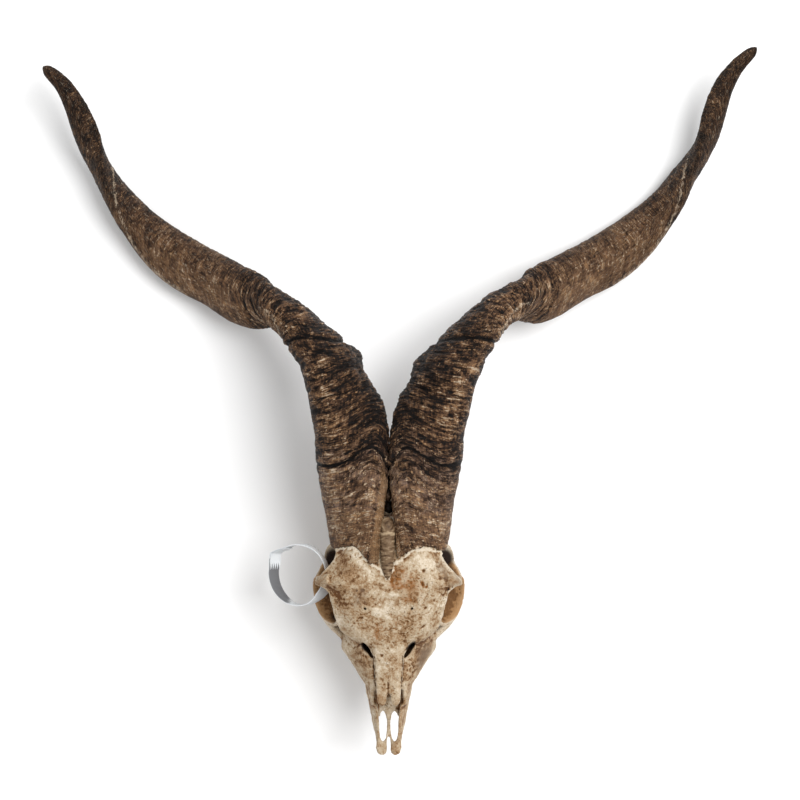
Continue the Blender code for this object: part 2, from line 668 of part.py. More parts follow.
def build_strap(parts, cutters):
    """A thin band closed into a ring, with a notched patch over its joint."""
    half = STRAP_WIDTH / 2
    thick = STRAP_THICKNESS
    band = []
    for angle in np.linspace(0, 360, STRAP_STEPS, endpoint=False):
        corners = ((0, -half), (thick, -half), (thick, half), (0, half))
        band.append([strap_point(angle, out, up) for out, up in corners])
    patch = []
    for i, angle in enumerate(np.linspace(PATCH_FROM, PATCH_TO, PATCH_STEPS)):
        low = -half - 0.5 - PATCH_NOTCH * (i % 2)
        corners = ((-thick, low), (thick / 2, low), (thick / 2, half * 0.8), (-thick, half * 0.8))
        patch.append([strap_point(angle, out, up) for out, up in corners])
    bm = bmesh.new()
    bridge(bm, band, closed=True)
    strap = solid("tag_strap", bm, parts, smooth=False)
    bm = bmesh.new()
    bridge(bm, patch)
    boolean(strap, "patch", "UNION", solid("strap_patch", bm, cutters, smooth=False))
    finish(strap, STRAP_COLOUR, 0.5)


def main():
    """Builds every piece and sets the whole on the middle of its bounding box."""
    for old in list(bpy.data.objects):
        bpy.data.objects.remove(old)
    parts = bpy.data.collections.new("goat_skull")
    cutters = bpy.data.collections.new("cutters")
    for made in (parts, cutters):
        bpy.context.scene.collection.children.link(made)
    skull = build_skull(parts, cutters)
    build_teeth(parts, cutters, skull)
    seat = seat_cutters(skull, cutters)
    build_horn("horn_right", RIGHT_HORN, -1, parts, seat)
    build_horn("horn_left", LEFT_HORN, 1, parts, seat)
    build_nub(parts, seat)
    build_strap(parts, cutters)
    middle = bpy.data.objects.new("middle", None)
    bpy.context.scene.collection.objects.link(middle)
    middle.location = Vector(MIDLINE_AT) * MM
    for made in list(parts.objects) + list(cutters.objects):
        made.parent = middle
    for made in cutters.objects:
        made.hide_render = True
        made.display_type = "WIRE"


main()
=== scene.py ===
"""Dresses the goat skull: stained porous bone, ringed horn sheaths, teeth and a paper tag strap.

Places and sizes are in millimetres in the skull's own frame until a mesh is finished. X runs from the midline
to the animal's left, -Y is towards the nose and Z is up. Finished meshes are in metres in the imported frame.
"""

import logging
import math
from dataclasses import dataclass
from enum import Enum
from typing import Any, Sequence

import bpy
import numpy as np
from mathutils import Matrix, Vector, noise


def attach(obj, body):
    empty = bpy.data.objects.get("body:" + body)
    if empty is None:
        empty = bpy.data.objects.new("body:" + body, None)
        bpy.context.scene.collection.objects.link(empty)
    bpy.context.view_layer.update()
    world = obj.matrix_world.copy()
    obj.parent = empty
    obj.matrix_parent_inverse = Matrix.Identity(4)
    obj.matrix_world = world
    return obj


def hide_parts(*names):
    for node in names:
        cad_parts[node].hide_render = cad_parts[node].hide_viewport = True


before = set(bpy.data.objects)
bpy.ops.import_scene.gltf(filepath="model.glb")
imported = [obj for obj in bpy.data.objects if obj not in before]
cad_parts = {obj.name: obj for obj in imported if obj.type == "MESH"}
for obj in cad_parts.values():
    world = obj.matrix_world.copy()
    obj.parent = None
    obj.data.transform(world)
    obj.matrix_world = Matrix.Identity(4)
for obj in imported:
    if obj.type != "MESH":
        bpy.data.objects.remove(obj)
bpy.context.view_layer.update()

LOG = logging.getLogger("goat_skull")
MM = 0.001
MIDLINE = np.array((-9.5, -2.9, 0.0))
PALATE_TILT = math.radians(25)
FULL_LIGHT = 1.35
WHOLE_TURN = 2 * math.pi
SEED_STEP = 7.31
SHINE = 0.17
SHEATH_RADIUS = 24
Array = np.ndarray
Piece = bpy.types.Object
Look = bpy.types.Material
Row = Sequence[float]
Rows = Sequence[Row]


class Side(Enum):
    """A side of the skull, as the sign of its X."""

    RIGHT = -1
    LEFT = 1


class Slot(Enum):
    """The record's material slots."""

    BONE = "bone"
    SHEATH = "horn_sheath"
    NUB = "nub_keratin"
    TOOTH = "tooth"
    STRAP = "strap_paper"


def deselect() -> None:
    """Leaves object mode with nothing selected."""
    if bpy.context.mode != "OBJECT":
        bpy.ops.object.mode_set(mode="OBJECT")
    bpy.ops.object.select_all(action="DESELECT")


def only(piece: Piece) -> None:
    """Selects one piece and makes it active.

    Args:
        piece: The object.
    """
    deselect()
    piece.select_set(True)
    bpy.context.view_layer.objects.active = piece


def modify(piece: Piece, kind: str, **settings: Any) -> None:
    """Applies one modifier.

    Args:
        piece: The object to change.
        kind: The modifier's type.
        **settings: Its values.
    """
    only(piece)
    made = piece.modifiers.new(kind.lower(), kind)
    for key, value in settings.items():
        setattr(made, key, value)
    bpy.ops.object.modifier_apply(modifier=made.name)


def read_all(items: Any, name: str, width: int, kind: type) -> Array:
    """Reads one property of every vertex or edge.

    Args:
        items: The mesh's vertices, edges or normals.
        name: The property.
        width: How many numbers each has.
        kind: The type of the numbers.

    Returns:
        One row of numbers for each.
    """
    flat = np.empty(len(items) * width, kind)
    items.foreach_get(name, flat)
    return flat.reshape(-1, width)


def points_of(piece: Piece) -> Array:
    """The piece's vertices in millimetres."""
    return read_all(piece.data.vertices, "co", 3, np.float32).astype(float) / MM


def normals_of(piece: Piece) -> Array:
    """The piece's vertex normals."""
    return read_all(piece.data.vertex_normals, "vector", 3, np.float32).astype(float)


def move_points(piece: Piece, points: Array) -> None:
    """Puts the piece's vertices at these places in millimetres."""
    piece.data.vertices.foreach_set("co", (points * MM).astype(np.float32).ravel())
    piece.data.update()


def paint(piece: Piece, name: str, values: Array) -> None:
    """Stores one number per vertex for the material."""
    layer = piece.data.attributes.new(name, "FLOAT", "POINT")
    layer.data.foreach_set("value", np.asarray(values, np.float32))


def grain(points: Array, size: Any, octaves: int = 1, seed: float = 0) -> Array:
    """Smooth noise about zero.

    Args:
        points: Places in millimetres.
        size: The size of a lump in millimetres, one number or one per axis.
        octaves: How many finer layers are added.
        seed: Moves the pattern.

    Returns:
        One value per place, mostly from -1 to 1.
    """
    shifted = points / np.asarray(size, float) + seed * SEED_STEP
    if octaves == 1:
        return np.array([noise.noise(place) for place in shifted.tolist()])
    return np.array([noise.fractal(place, 1, 2, octaves) for place in shifted.tolist()])


def smooth(values: Any, low: float, high: float) -> Array:
    """Rises softly from 0 at low to 1 at high."""
    share = np.clip((values - low) / (high - low), 0, 1)
    return share * share * (3 - 2 * share)


def hump(values: Any, centre: Any, width: float) -> Array:
    """A rounded bump of height 1 about the centre."""
    return np.exp(-(((values - centre) / width) ** 2))


def read_off(table: Rows, places: Any) -> Array:
    """Looks places up in a table of pairs, straight between two of them."""
    return np.interp(places, *np.array(table).T)


def spread(marks: Rows, points: Array) -> Array:
    """How strongly each place is marked, seen from above.

    Args:
        marks: Rows of x, y, half width and half length. A turn in degrees and a strength follow, unless they
            are 0 and 1.
        points: Places in millimetres.

    Returns:
        The marks' sum at each place.
    """
    total = np.zeros(len(points))
    for mark in marks:
        x, y, wide, long, turn, strength = (*mark, 0, 1)[:6]
        a = math.radians(turn)
        dx, dy = points[:, 0] - x, points[:, 1] - y
        u = (dx * math.cos(a) + dy * math.sin(a)) / wide
        v = (dy * math.cos(a) - dx * math.sin(a)) / long
        total += strength * np.exp(-(u * u + v * v))
    return total


def surroundings(piece: Piece, passes: int) -> Array:
    """Averages each vertex with its neighbours.

    Args:
        piece: The object, which stays as it is.
        passes: How often.

    Returns:
        Where each vertex would be, in millimetres.
    """
    a, b = read_all(piece.data.edges, "vertices", 2, np.int32).T
    average = points_of(piece)
    count = len(average)
    neighbours = np.bincount(a, minlength=count) + np.bincount(b, minlength=count)
    for _ in range(passes):
        sums = [np.bincount(a, col[b], count) + np.bincount(b, col[a], count) for col in average.T]
        average = np.stack(sums, 1) / neighbours[:, None]
    return average


def cavity(piece: Piece, passes: int) -> Array:
    """How far each vertex lies below its averaged surroundings, in millimetres."""
    return ((surroundings(piece, passes) - points_of(piece)) * normals_of(piece)).sum(1)


def catmull(points: Rows, count: int, closed: bool = False) -> Array:
    """Reads a smooth curve through the rows at even steps.

    Args:
        points: The rows.
        count: How many points to read.
        closed: Whether the last row joins the first.

    Returns:
        The points read.
    """
    rows = np.array(points, float)
    if closed:
        padded = np.vstack([rows[-1:], rows, rows[:2]])
    else:
        padded = np.vstack([2 * rows[:1] - rows[1:2], rows, 2 * rows[-1:] - rows[-2:-1]])
    spans = len(padded) - 3
    read = []
    for place in np.linspace(0, spans, count, endpoint=not closed):
        i = min(int(place), spans - 1)
        t = place - i
        a, b, c, d = padded[i : i + 4]
        bend = 2 * a - 5 * b + 4 * c - d
        turn = 3 * b - a - 3 * c + d
        read.append(b + 0.5 * ((c - a) * t + bend * t**2 + turn * t**3))
    return np.array(read)


def even_steps(points: Rows, count: int) -> Array:
    """Reads the same curve at equal distances.

    Args:
        points: The rows, which begin with x, y and z.
        count: How many points to read.

    Returns:
        The points read.
    """
    fine = catmull(points, 12 * len(points))
    along = np.r_[0, np.cumsum(np.linalg.norm(np.diff(fine[:, :3], axis=0), axis=1))]
    places = np.linspace(0, along[-1], count)
    return np.stack([np.interp(places, along, column) for column in fine.T], 1)


def ring_frames(centres: Array, lean: Row) -> list[tuple[Array, Array, Array]]:
    """Finds the directions of the rings along a line.

    Args:
        centres: The line's points.
        lean: The direction that each ring's first axis comes nearest to.

    Returns:
        For each point, the tangent, the first axis and the second.
    """
    frames = []
    for t in np.gradient(centres, axis=0):
        t = t / np.linalg.norm(t)
        up = np.array(lean, float)
        up = up - up.dot(t) * t
        up = up / np.linalg.norm(up)
        frames.append((t, up, np.cross(t, up)))
    return frames


def tube(name: str, rings: Array, ring_shaped: bool = False) -> Piece:
    """Rolls a grid up into a tube whose UV map runs round it and along it.

    Args:
        name: The object's name.
        rings: Rings of equally many corners in millimetres.
        ring_shaped: Whether the tube closes on itself instead of being filled at its ends.

    Returns:
        The closed tube.
    """
    count, sides = rings.shape[:2]
    deselect()
    bpy.ops.mesh.primitive_grid_add(x_subdivisions=sides, y_subdivisions=count - 1, size=1)
    made = bpy.context.active_object
    made.name = made.data.name = name
    rolled = np.concatenate([rings, rings[:, :1]], axis=1)
    move_points(made, rolled.reshape(-1, 3))
    bpy.ops.object.mode_set(mode="EDIT")
    bpy.ops.mesh.select_all(action="SELECT")
    bpy.ops.mesh.remove_doubles(threshold=1e-7)
    if not ring_shaped:
        bpy.ops.mesh.fill_holes(sides=0)
    bpy.ops.mesh.normals_make_consistent(inside=False)
    bpy.ops.object.mode_set(mode="OBJECT")
    return made


def ball(row: Row, side: int = 1) -> Piece:
    """A rounded mass.

    Args:
        row: Its middle, its three radii and how often it leans by the palate's tilt about the X axis.
        side: 1 for the left side or the midline, -1 for the right.

    Returns:
        The mass.
    """
    x, y, z, *radii, tilt = row
    deselect()
    place = Vector((x * side, y, z)) * MM
    bpy.ops.mesh.primitive_uv_sphere_add(segments=28, ring_count=16, radius=MM, location=place)
    made = bpy.context.active_object
    made.rotation_euler = (tilt * PALATE_TILT, 0, 0)
    made.scale = radii
    bpy.ops.object.transform_apply()
    return made


def join(pieces: Sequence[Piece], name: str) -> Piece:
    """Makes one object of the pieces, one after another so that their order is the same in each run.

    Args:
        pieces: The objects.
        name: The name of the one.

    Returns:
        The joined object.
    """
    only(pieces[0])
    for piece in pieces[1:]:
        piece.select_set(True)
        bpy.ops.object.join()
    pieces[0].name = pieces[0].data.name = name
    return pieces[0]


def hand_over(piece: Piece, slot: Slot, look: Look, *nodes: str) -> None:
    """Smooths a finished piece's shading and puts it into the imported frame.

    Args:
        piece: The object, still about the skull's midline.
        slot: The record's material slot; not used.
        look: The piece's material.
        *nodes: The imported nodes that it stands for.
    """
    only(piece)
    bpy.ops.object.shade_smooth()
    move_points(piece, points_of(piece) + MIDLINE)
    piece.data.materials.clear()
    piece.data.materials.append(look)
    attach(piece, "root")
    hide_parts(*nodes)
    LOG.info("%s: %d faces", piece.name, len(piece.data.polygons))


@dataclass(frozen=True)
class Wire:
    """The output of a shader node, which Python's operators work on."""

    recipe: "Recipe"
    socket: bpy.types.NodeSocket

    def __add__(self, other: Any) -> "Wire":
        """Adds."""
        return self.recipe.maths("ADD", self, other)

    __radd__ = __add__

    def __sub__(self, other: Any) -> "Wire":
        """Subtracts."""
        return self.recipe.maths("SUBTRACT", self, other)

    def __rsub__(self, other: Any) -> "Wire":
        """Subtracts this from the other."""
        return self.recipe.maths("SUBTRACT", other, self)

    def __mul__(self, other: Any) -> "Wire":
        """Multiplies."""
        return self.recipe.maths("MULTIPLY", self, other)

    __rmul__ = __mul__

    def rise(self, low: float, high: float) -> "Wire":
        """Rises softly from 0 at low to 1 at high."""
        values = {"Value": self, "From Min": low, "From Max": high}
        return self.recipe.node("ShaderNodeMapRange", {"interpolation_type": "SMOOTHSTEP"}, values)


class Recipe:
    """A material under construction."""

    def __init__(self, name: str) -> None:
        """Starts from a plain Principled shader.

        Args:
            name: The material's name.
        """
        self.material = bpy.data.materials.new(name)
        self.material.use_nodes = True
        self.tree = self.material.node_tree
        self.shader = self.tree.nodes["Principled BSDF"]

    def feed(self, socket: bpy.types.NodeSocket, value: Any) -> None:
        """Links a wire to a socket, or sets the socket's own value.

        Args:
            socket: The input.
            value: A wire or a value.
        """
        if isinstance(value, Wire):
            self.tree.links.new(value.socket, socket)
        else:
            socket.default_value = value

    def node(self, kind: str, settings: dict[str, Any], values: dict[Any, Any], out: int = 0) -> Wire:
        """Adds one node.

        Args:
            kind: The node's type.
            settings: Its settings, set first.
            values: Numbers or wires for its inputs.
            out: Which output to return.

        Returns:
            The chosen output.
        """
        made = self.tree.nodes.new(kind)
        for key, value in settings.items():
            setattr(made, key, value)
        for key, value in values.items():
            self.feed(made.inputs[key], value)
        return Wire(self, made.outputs[out])

    def maths(self, operation: str, a: Any, b: Any = 0) -> Wire:
        """One step of arithmetic."""
        return self.node("ShaderNodeMath", {"operation": operation}, {0: a, 1: b})

    def mix(self, a: Any, b: Any, share: Any) -> Wire:
        """The colour between a and b."""
        return self.node("ShaderNodeMix", {"data_type": "RGBA"}, {0: share, 6: a, 7: b}, out=2)

    def layers(self, colour: Any, *coats: tuple[Any, Any]) -> Wire:
        """Lays coats of colour over one another.

        Args:
            colour: The ground.
            *coats: Each coat's colour and how far it covers.

        Returns:
            The colour on top.
        """
        for coat, share in coats:
            colour = self.mix(colour, coat, share)
        return colour

    def place(self) -> Wire:
        """Where the surface is, in millimetres."""
        return self.stretch(self.node("ShaderNodeTexCoord", {}, {}, out=3), (1 / MM,) * 3)

    def stretch(self, vector: Wire, scale: tuple) -> Wire:
        """The vector times a number on each axis."""
        return self.node("ShaderNodeVectorMath", {"operation": "MULTIPLY"}, {0: vector, 1: scale})

    def cloud(self, vector: Wire, size: float, detail: float = 3, warp: float = 0) -> Wire:
        """Noise from 0 to 1 whose lumps have that size."""
        values = {"Vector": vector, "Scale": 1 / size, "Detail": detail, "Roughness": 0.6, "Distortion": warp}
        return self.node("ShaderNodeTexNoise", {}, values)

    def mask(self, name: str) -> Wire:
        """A painted mask."""
        return self.node("ShaderNodeAttribute", {"attribute_name": name}, {}, out=2)

    def finish(self, colour: Wire, roughness: Any, height: Wire, relief: float) -> Look:
        """Connects the shader.

        Args:
            colour: The base colour.
            roughness: The roughness.
            height: The height of the fine grain.
            relief: How many millimetres it stands.

        Returns:
            The material.
        """
        bump = self.node("ShaderNodeBump", {}, {"Strength": 1, "Distance": relief * MM, "Height": height})
        wanted = {"Base Color": colour, "Roughness": roughness, "Specular IOR Level": SHINE, "Normal": bump}
        for name, value in wanted.items():
            self.feed(self.shader.inputs[name], value)
        return self.material


def tone(red: int, green: int, blue: int) -> tuple:
    """The shader's linear colour for one that is seen in full light, each part from 0 to 255."""
    return (*((part / 255) ** 2.2 / FULL_LIGHT for part in (red, green, blue)), 1)


@dataclass(frozen=True)
class BoneFinish:
    """Dry bone: ivory, with tan and grey stains, rust at the middle, dark pores and grime in its seams and
    creases, painted shade in its hollows, creases and deep gaps and painted highlight on its ridges.
    """

    pale: tuple = tone(240, 224, 200)
    ivory: tuple = tone(206, 184, 154)
    tan: tuple = tone(168, 134, 98)
    brown: tuple = tone(104, 68, 38)
    grey: tuple = tone(128, 106, 86)
    rust: tuple = tone(158, 98, 44)
    amber: tuple = tone(190, 145, 98)
    dirt_and_shade: tuple = tone(40, 25, 14)
    pore_size: float = 2

    def build(self) -> Look:
        """Makes the material.

        Returns:
            The material.
        """
        r = Recipe("bone_finish")
        at = r.place()
        broad, patchy = r.cloud(at, 12, 5, 0.6), r.cloud(at, 4.6, 6, 1.2)
        fine, grit = r.cloud(at, 1.2, 4, 0.6), r.cloud(at, 0.7, 2)
        low, rust, tan = r.mask("low"), r.mask("rust"), r.mask("tan")
        # low: grime and painted shade darken the creases, and painted highlight lightens the ridges where it
        # is below zero.
        shade = broad * 1.4 + patchy * 0.6 + fine * 0.9 + r.mask("pale") * 0.3 - tan * 0.34 - low * 0.45
        greyed = broad * 0.7 + fine * 0.8 + r.mask("grey") * 0.75 + low * 0.2
        rusty = patchy * 1.2 + fine + rust * 0.6 + low * 0.3
        cells = r.node("ShaderNodeTexVoronoi", {}, {"Vector": at, "Scale": 1 / self.pore_size})
        porous = (r.cloud(at, 7, 2) + rust * 0.15 + tan * 0.1).rise(0.46, 0.62)
        pores = (1 - cells.rise(0.06, 0.3)) * porous
        amber = r.mix(self.amber, self.brown, (patchy * 1.2 + fine + low).rise(1.1, 1.9) * 0.7)
        colour = r.layers(
            self.brown,
            (self.tan, shade.rise(1.02, 1.32)),
            (self.ivory, shade.rise(1.27, 1.6)),
            (self.pale, shade.rise(1.57, 1.92)),
            (self.grey, greyed.rise(0.95, 1.6) * 0.85),
            (self.rust, rusty.rise(1.4, 1.95) * 0.75),
            (self.brown, pores * 0.7),
            # Amber-brown painted shade in the eye sockets, the hollows behind them, the nose and underneath.
            (amber, (r.mask("hollow") + patchy * 0.6).rise(0.35, 0.9) * 0.9),
            (self.pale, (r.mask("edge") + fine * 1.6).rise(1.05, 1.6) * 0.85),
            # Near black: grime in the pores and seams, and painted shade in the lacrimal slits and the deep
            # gaps round the eye sockets.
            (self.dirt_and_shade, (r.mask("dirt_and_shade") + grit * 0.2).rise(0.4, 0.9)),
        )
        height = fine * 0.7 + patchy * 0.5 + grit * 0.25 - pores * 0.5
        return r.finish(colour, 0.5 + patchy * 0.2, height, 1)


@dataclass(frozen=True)
class SheathFinish:
    """Horn: brown with black furrows, tan crests and fine streaks along it; the crests are lighter from wear
    and painted highlight, the troughs darker with painted shade, and a painted sheen and painted highlights
    run along its middle, keel and ridge.
    """

    black: tuple = tone(20, 14, 11)
    dark: tuple = tone(56, 39, 28)
    brown: tuple = tone(116, 86, 63)
    grey: tuple = tone(128, 106, 94)
    tan: tuple = tone(176, 136, 96)
    light: tuple = tone(232, 212, 186)
    grains: Rows = (
        (0.07, 0.34, 3, 0.5), (0.11, 1.1, 2, 0.3), (0.05, 0.36, 2, 0.4), (1.1, 0.12, 3, 0.4),
        (0.5, 0.6, 5, 0.3),
    )

    def build(self, name: str) -> Look:
        """Makes the material.

        Args:
            name: The material's name.

        Returns:
            The material.
        """
        r = Recipe(name)
        skin = self.skin(r)
        made = [r.cloud(r.stretch(skin, (a, a, b)), 1, *more) for a, b, *more in self.grains]
        rings, lines, waves, streaks, flecks = made
        scratches = r.cloud(r.stretch(skin, (0.5, 2.2, 0.3)), 1, 3, 0.8)
        patches = r.cloud(r.place(), 9, 5, 0.6)
        hair = 1 - r.maths("ABSOLUTE", waves - 0.5).rise(0.004, 0.03)
        crest = r.mask("crest")
        # crest lightens the wrinkles' crests and darkens their troughs: wear, with painted highlight and
        # painted shade along the relief.
        banded = crest * 0.7 + rings * 1.1 + lines * 0.9 + flecks * 1.4 - 1.98
        shade = hair * (flecks * 0.96 + patches * 1.12 - 0.576) + banded * r.mask("vivid")
        # The tan mask brings the tan spots and zones and the painted sheen along the horn's middle.
        shade = shade + patches * 1.1 + streaks + r.mask("tan") * 0.2 - r.mask("black") * 0.5
        brown = r.mix(self.brown, self.grey, (patches * 1.5 + r.mask("grey") * 0.5).rise(0.95, 1.55))
        # The colour of the painted highlight along the keel and the ridge, tan or light by the flecks.
        worn = r.mix(self.tan, self.light, flecks.rise(0.35, 0.6))
        colour = r.layers(
            self.black,
            (self.dark, shade.rise(0.49, 0.79)),
            (brown, shade.rise(0.74, 1.19)),
            (self.tan, shade.rise(1.14, 1.49) * 0.9),
            (self.light, (shade + lines * 0.8).rise(1.89, 2.14) * 0.7),
            (self.light, (scratches + r.mask("scratch") * 0.12).rise(0.71, 0.82) * 0.45),
            (self.tan, (r.mask("strip") + streaks * 1.5).rise(1.05, 2.15) * 0.5),
            (worn, (r.mask("edge") + flecks * 2.5).rise(1.6, 2.2) * 0.7),
            (self.black, r.mask("furrow").rise(0.25, 0.75)),
        )
        height = rings * 0.8 + lines * 0.9 + streaks * 0.4 + flecks * 0.5 + hair * 0.4
        return r.finish(colour, 0.6 - crest * 0.14, height, 2)

    def skin(self, r: Recipe) -> Wire:
        """Lays coordinates on the sheath: two run round it and the third along its wrinkles.

        Args:
            r: The material.

        Returns:
            The coordinates in millimetres.
        """
        uv = r.node("ShaderNodeUVMap", {}, {})
        turn = r.node("ShaderNodeSeparateXYZ", {}, {0: uv}) * WHOLE_TURN
        round_it = [r.maths(name, turn) * SHEATH_RADIUS for name in ("COSINE", "SINE")]
        return r.node("ShaderNodeCombineXYZ", {}, dict(enumerate([*round_it, r.mask("wave")])))


@dataclass(frozen=True)
class NubFinish:
    """The nub: grey brown horn with pale wrinkles, darker low on its sides as painted shade and darker on the
    dry matter behind it.
    """

    black: tuple = tone(28, 19, 12)
    dark: tuple = tone(70, 51, 36)
    brown: tuple = tone(124, 100, 76)
    pale: tuple = tone(194, 170, 138)

    def build(self) -> Look:
        """Makes the material.

        Returns:
            The material.
        """
        r = Recipe("nub_finish")
        at = r.place()
        low, band = r.mask("low"), r.mask("band")
        rings = r.cloud(r.stretch(at, (0.12, 0.5, 0.12)), 1, 4, 0.3)
        flecks = r.cloud(at, 1.4, 4, 0.4)
        # low darkens the nub low on its sides, painted shade, and on the dry matter behind it.
        shade = rings * 0.5 + r.mask("crest") * 0.35 + flecks * 0.4 - low * 0.35
        colour = r.layers(
            self.dark,
            (self.brown, shade.rise(0.35, 0.65)),
            (self.pale, (shade + band * 0.3).rise(0.66, 0.95) * 0.85),
            (self.black, (low + flecks * 0.5 - band * 0.7).rise(0.55, 1.25)),
        )
        return r.finish(colour, 0.55, rings * 0.7 + flecks * 0.4, 0.6)


@dataclass(frozen=True)
class ToothFinish:
    """Enamel: cream on the crown, brown tartar in its folds and at its root."""

    enamel: tuple = tone(226, 214, 184)
    root: tuple = tone(176, 142, 98)
    tartar: tuple = tone(70, 46, 28)

    def build(self) -> Look:
        """Makes the material.

        Returns:
            The material.
        """
        r = Recipe("tooth_finish")
        mottle = r.cloud(r.place(), 3, 4)
        colour = r.layers(
            self.enamel,
            (self.root, (r.mask("root") + mottle * 0.6).rise(0.6, 1.2)),
            (self.tartar, (r.mask("fold") + mottle * 0.7).rise(0.8, 1.25) * 0.9),
        )
        return r.finish(colour, 0.3 + mottle * 0.2, mottle, 0.2)


@dataclass(frozen=True)
class StrapFinish:
    """Coated white paper with a little blue, faintly creased, with grey painted shade on the inner face of
    part of the ring.
    """

    white: tuple = tone(248, 252, 255)
    shade: tuple = tone(220, 227, 234)
    grey: tuple = tone(126, 127, 130)

    def build(self) -> Look:
        """Makes the material.

        Returns:
            The material.
        """
        r = Recipe("strap_finish")
        at = r.place()
        creases = r.cloud(at, 5, 3, 0.8)
        # The worn mask is painted shade: grey on the ring's inner face where it lies in the skull's shadow.
        worn = (r.mask("worn") + creases * 0.4).rise(0.5, 1)
        colour = r.layers(self.white, (self.shade, creases.rise(0.5, 0.8) * 0.5), (self.grey, worn))
        return r.finish(colour, 0.42 + creases * 0.1, creases + r.cloud(at, 1, 2) * 0.2, 0.25)


@dataclass(frozen=True)
class Bar:
    """A long bone: rows of x, y, z, half height and half thickness on the left side."""

    stations: Rows
    roll: float = 0
    sides: int = 14
    steps: int = 22
    lean: tuple = (0, 0, 1)

    def build(self, side: int = 1) -> Piece:
        """Makes the bar.

        Args:
            side: 1 for the left side or the midline, -1 for the right.

        Returns:
            The bar as a closed tube.
        """
        rows = catmull(self.stations, self.steps)
        rows[:, 0] *= side
        turn = math.radians(self.roll) * side
        angles = np.linspace(0, WHOLE_TURN, self.sides, endpoint=False)
        rings = []
        for (t, up, across), row in zip(ring_frames(rows[:, :3], self.lean), rows):
            high = up * math.cos(turn) + across * math.sin(turn)
            wide = np.cross(t, high)
            up_and_down, to_and_fro = np.outer(np.cos(angles), high), np.outer(np.sin(angles), wide)
            rings.append(row[:3] + up_and_down * row[3] + to_and_fro * row[4])
        return tube("bar", np.array(rings))


def loft(sections: Rows, corners: int, steps: int) -> Piece:
    """A body on the midline.

    Args:
        sections: Rows of y, then x and z pairs from the top middle to the bottom middle.
        corners: Corners round each ring.
        steps: Rings.

    Returns:
        The body as a closed tube.
    """
    rings = []
    for row in catmull(sections, steps):
        half = row[1:].reshape(-1, 2)
        outline = catmull(np.vstack([half, half[-2:0:-1] * (-1, 1)]), corners, closed=True)
        rings.append([(x, row[0], z) for x, z in outline])
    return tube("body", np.array(rings))


@dataclass(frozen=True)
class Seam:
    """A line on the bone seen from above: its points, half width, depth and how much it wanders."""

    points: Rows
    width: float
    depth: float
    wander: float

    def near(self, points: Array) -> Array:
        """Finds how near each place is to the line.

        Args:
            points: Places in millimetres.

        Returns:
            A value from 0 to 1 for each.
        """
        jitter = np.stack([grain(points, 2.4, 1, seed) for seed in (3, 5)], 1)
        flat = points[:, :2] + jitter * self.wander * 2
        best = np.full(len(points), np.inf)
        for start, end in zip(self.points, self.points[1:]):
            away, way = flat - start, np.subtract(end, start)
            share = np.clip((away @ way) / way.dot(way), 0, 1)
            best = np.minimum(best, np.linalg.norm(away - share[:, None] * way, axis=1))
        return hump(best, 0, self.width)


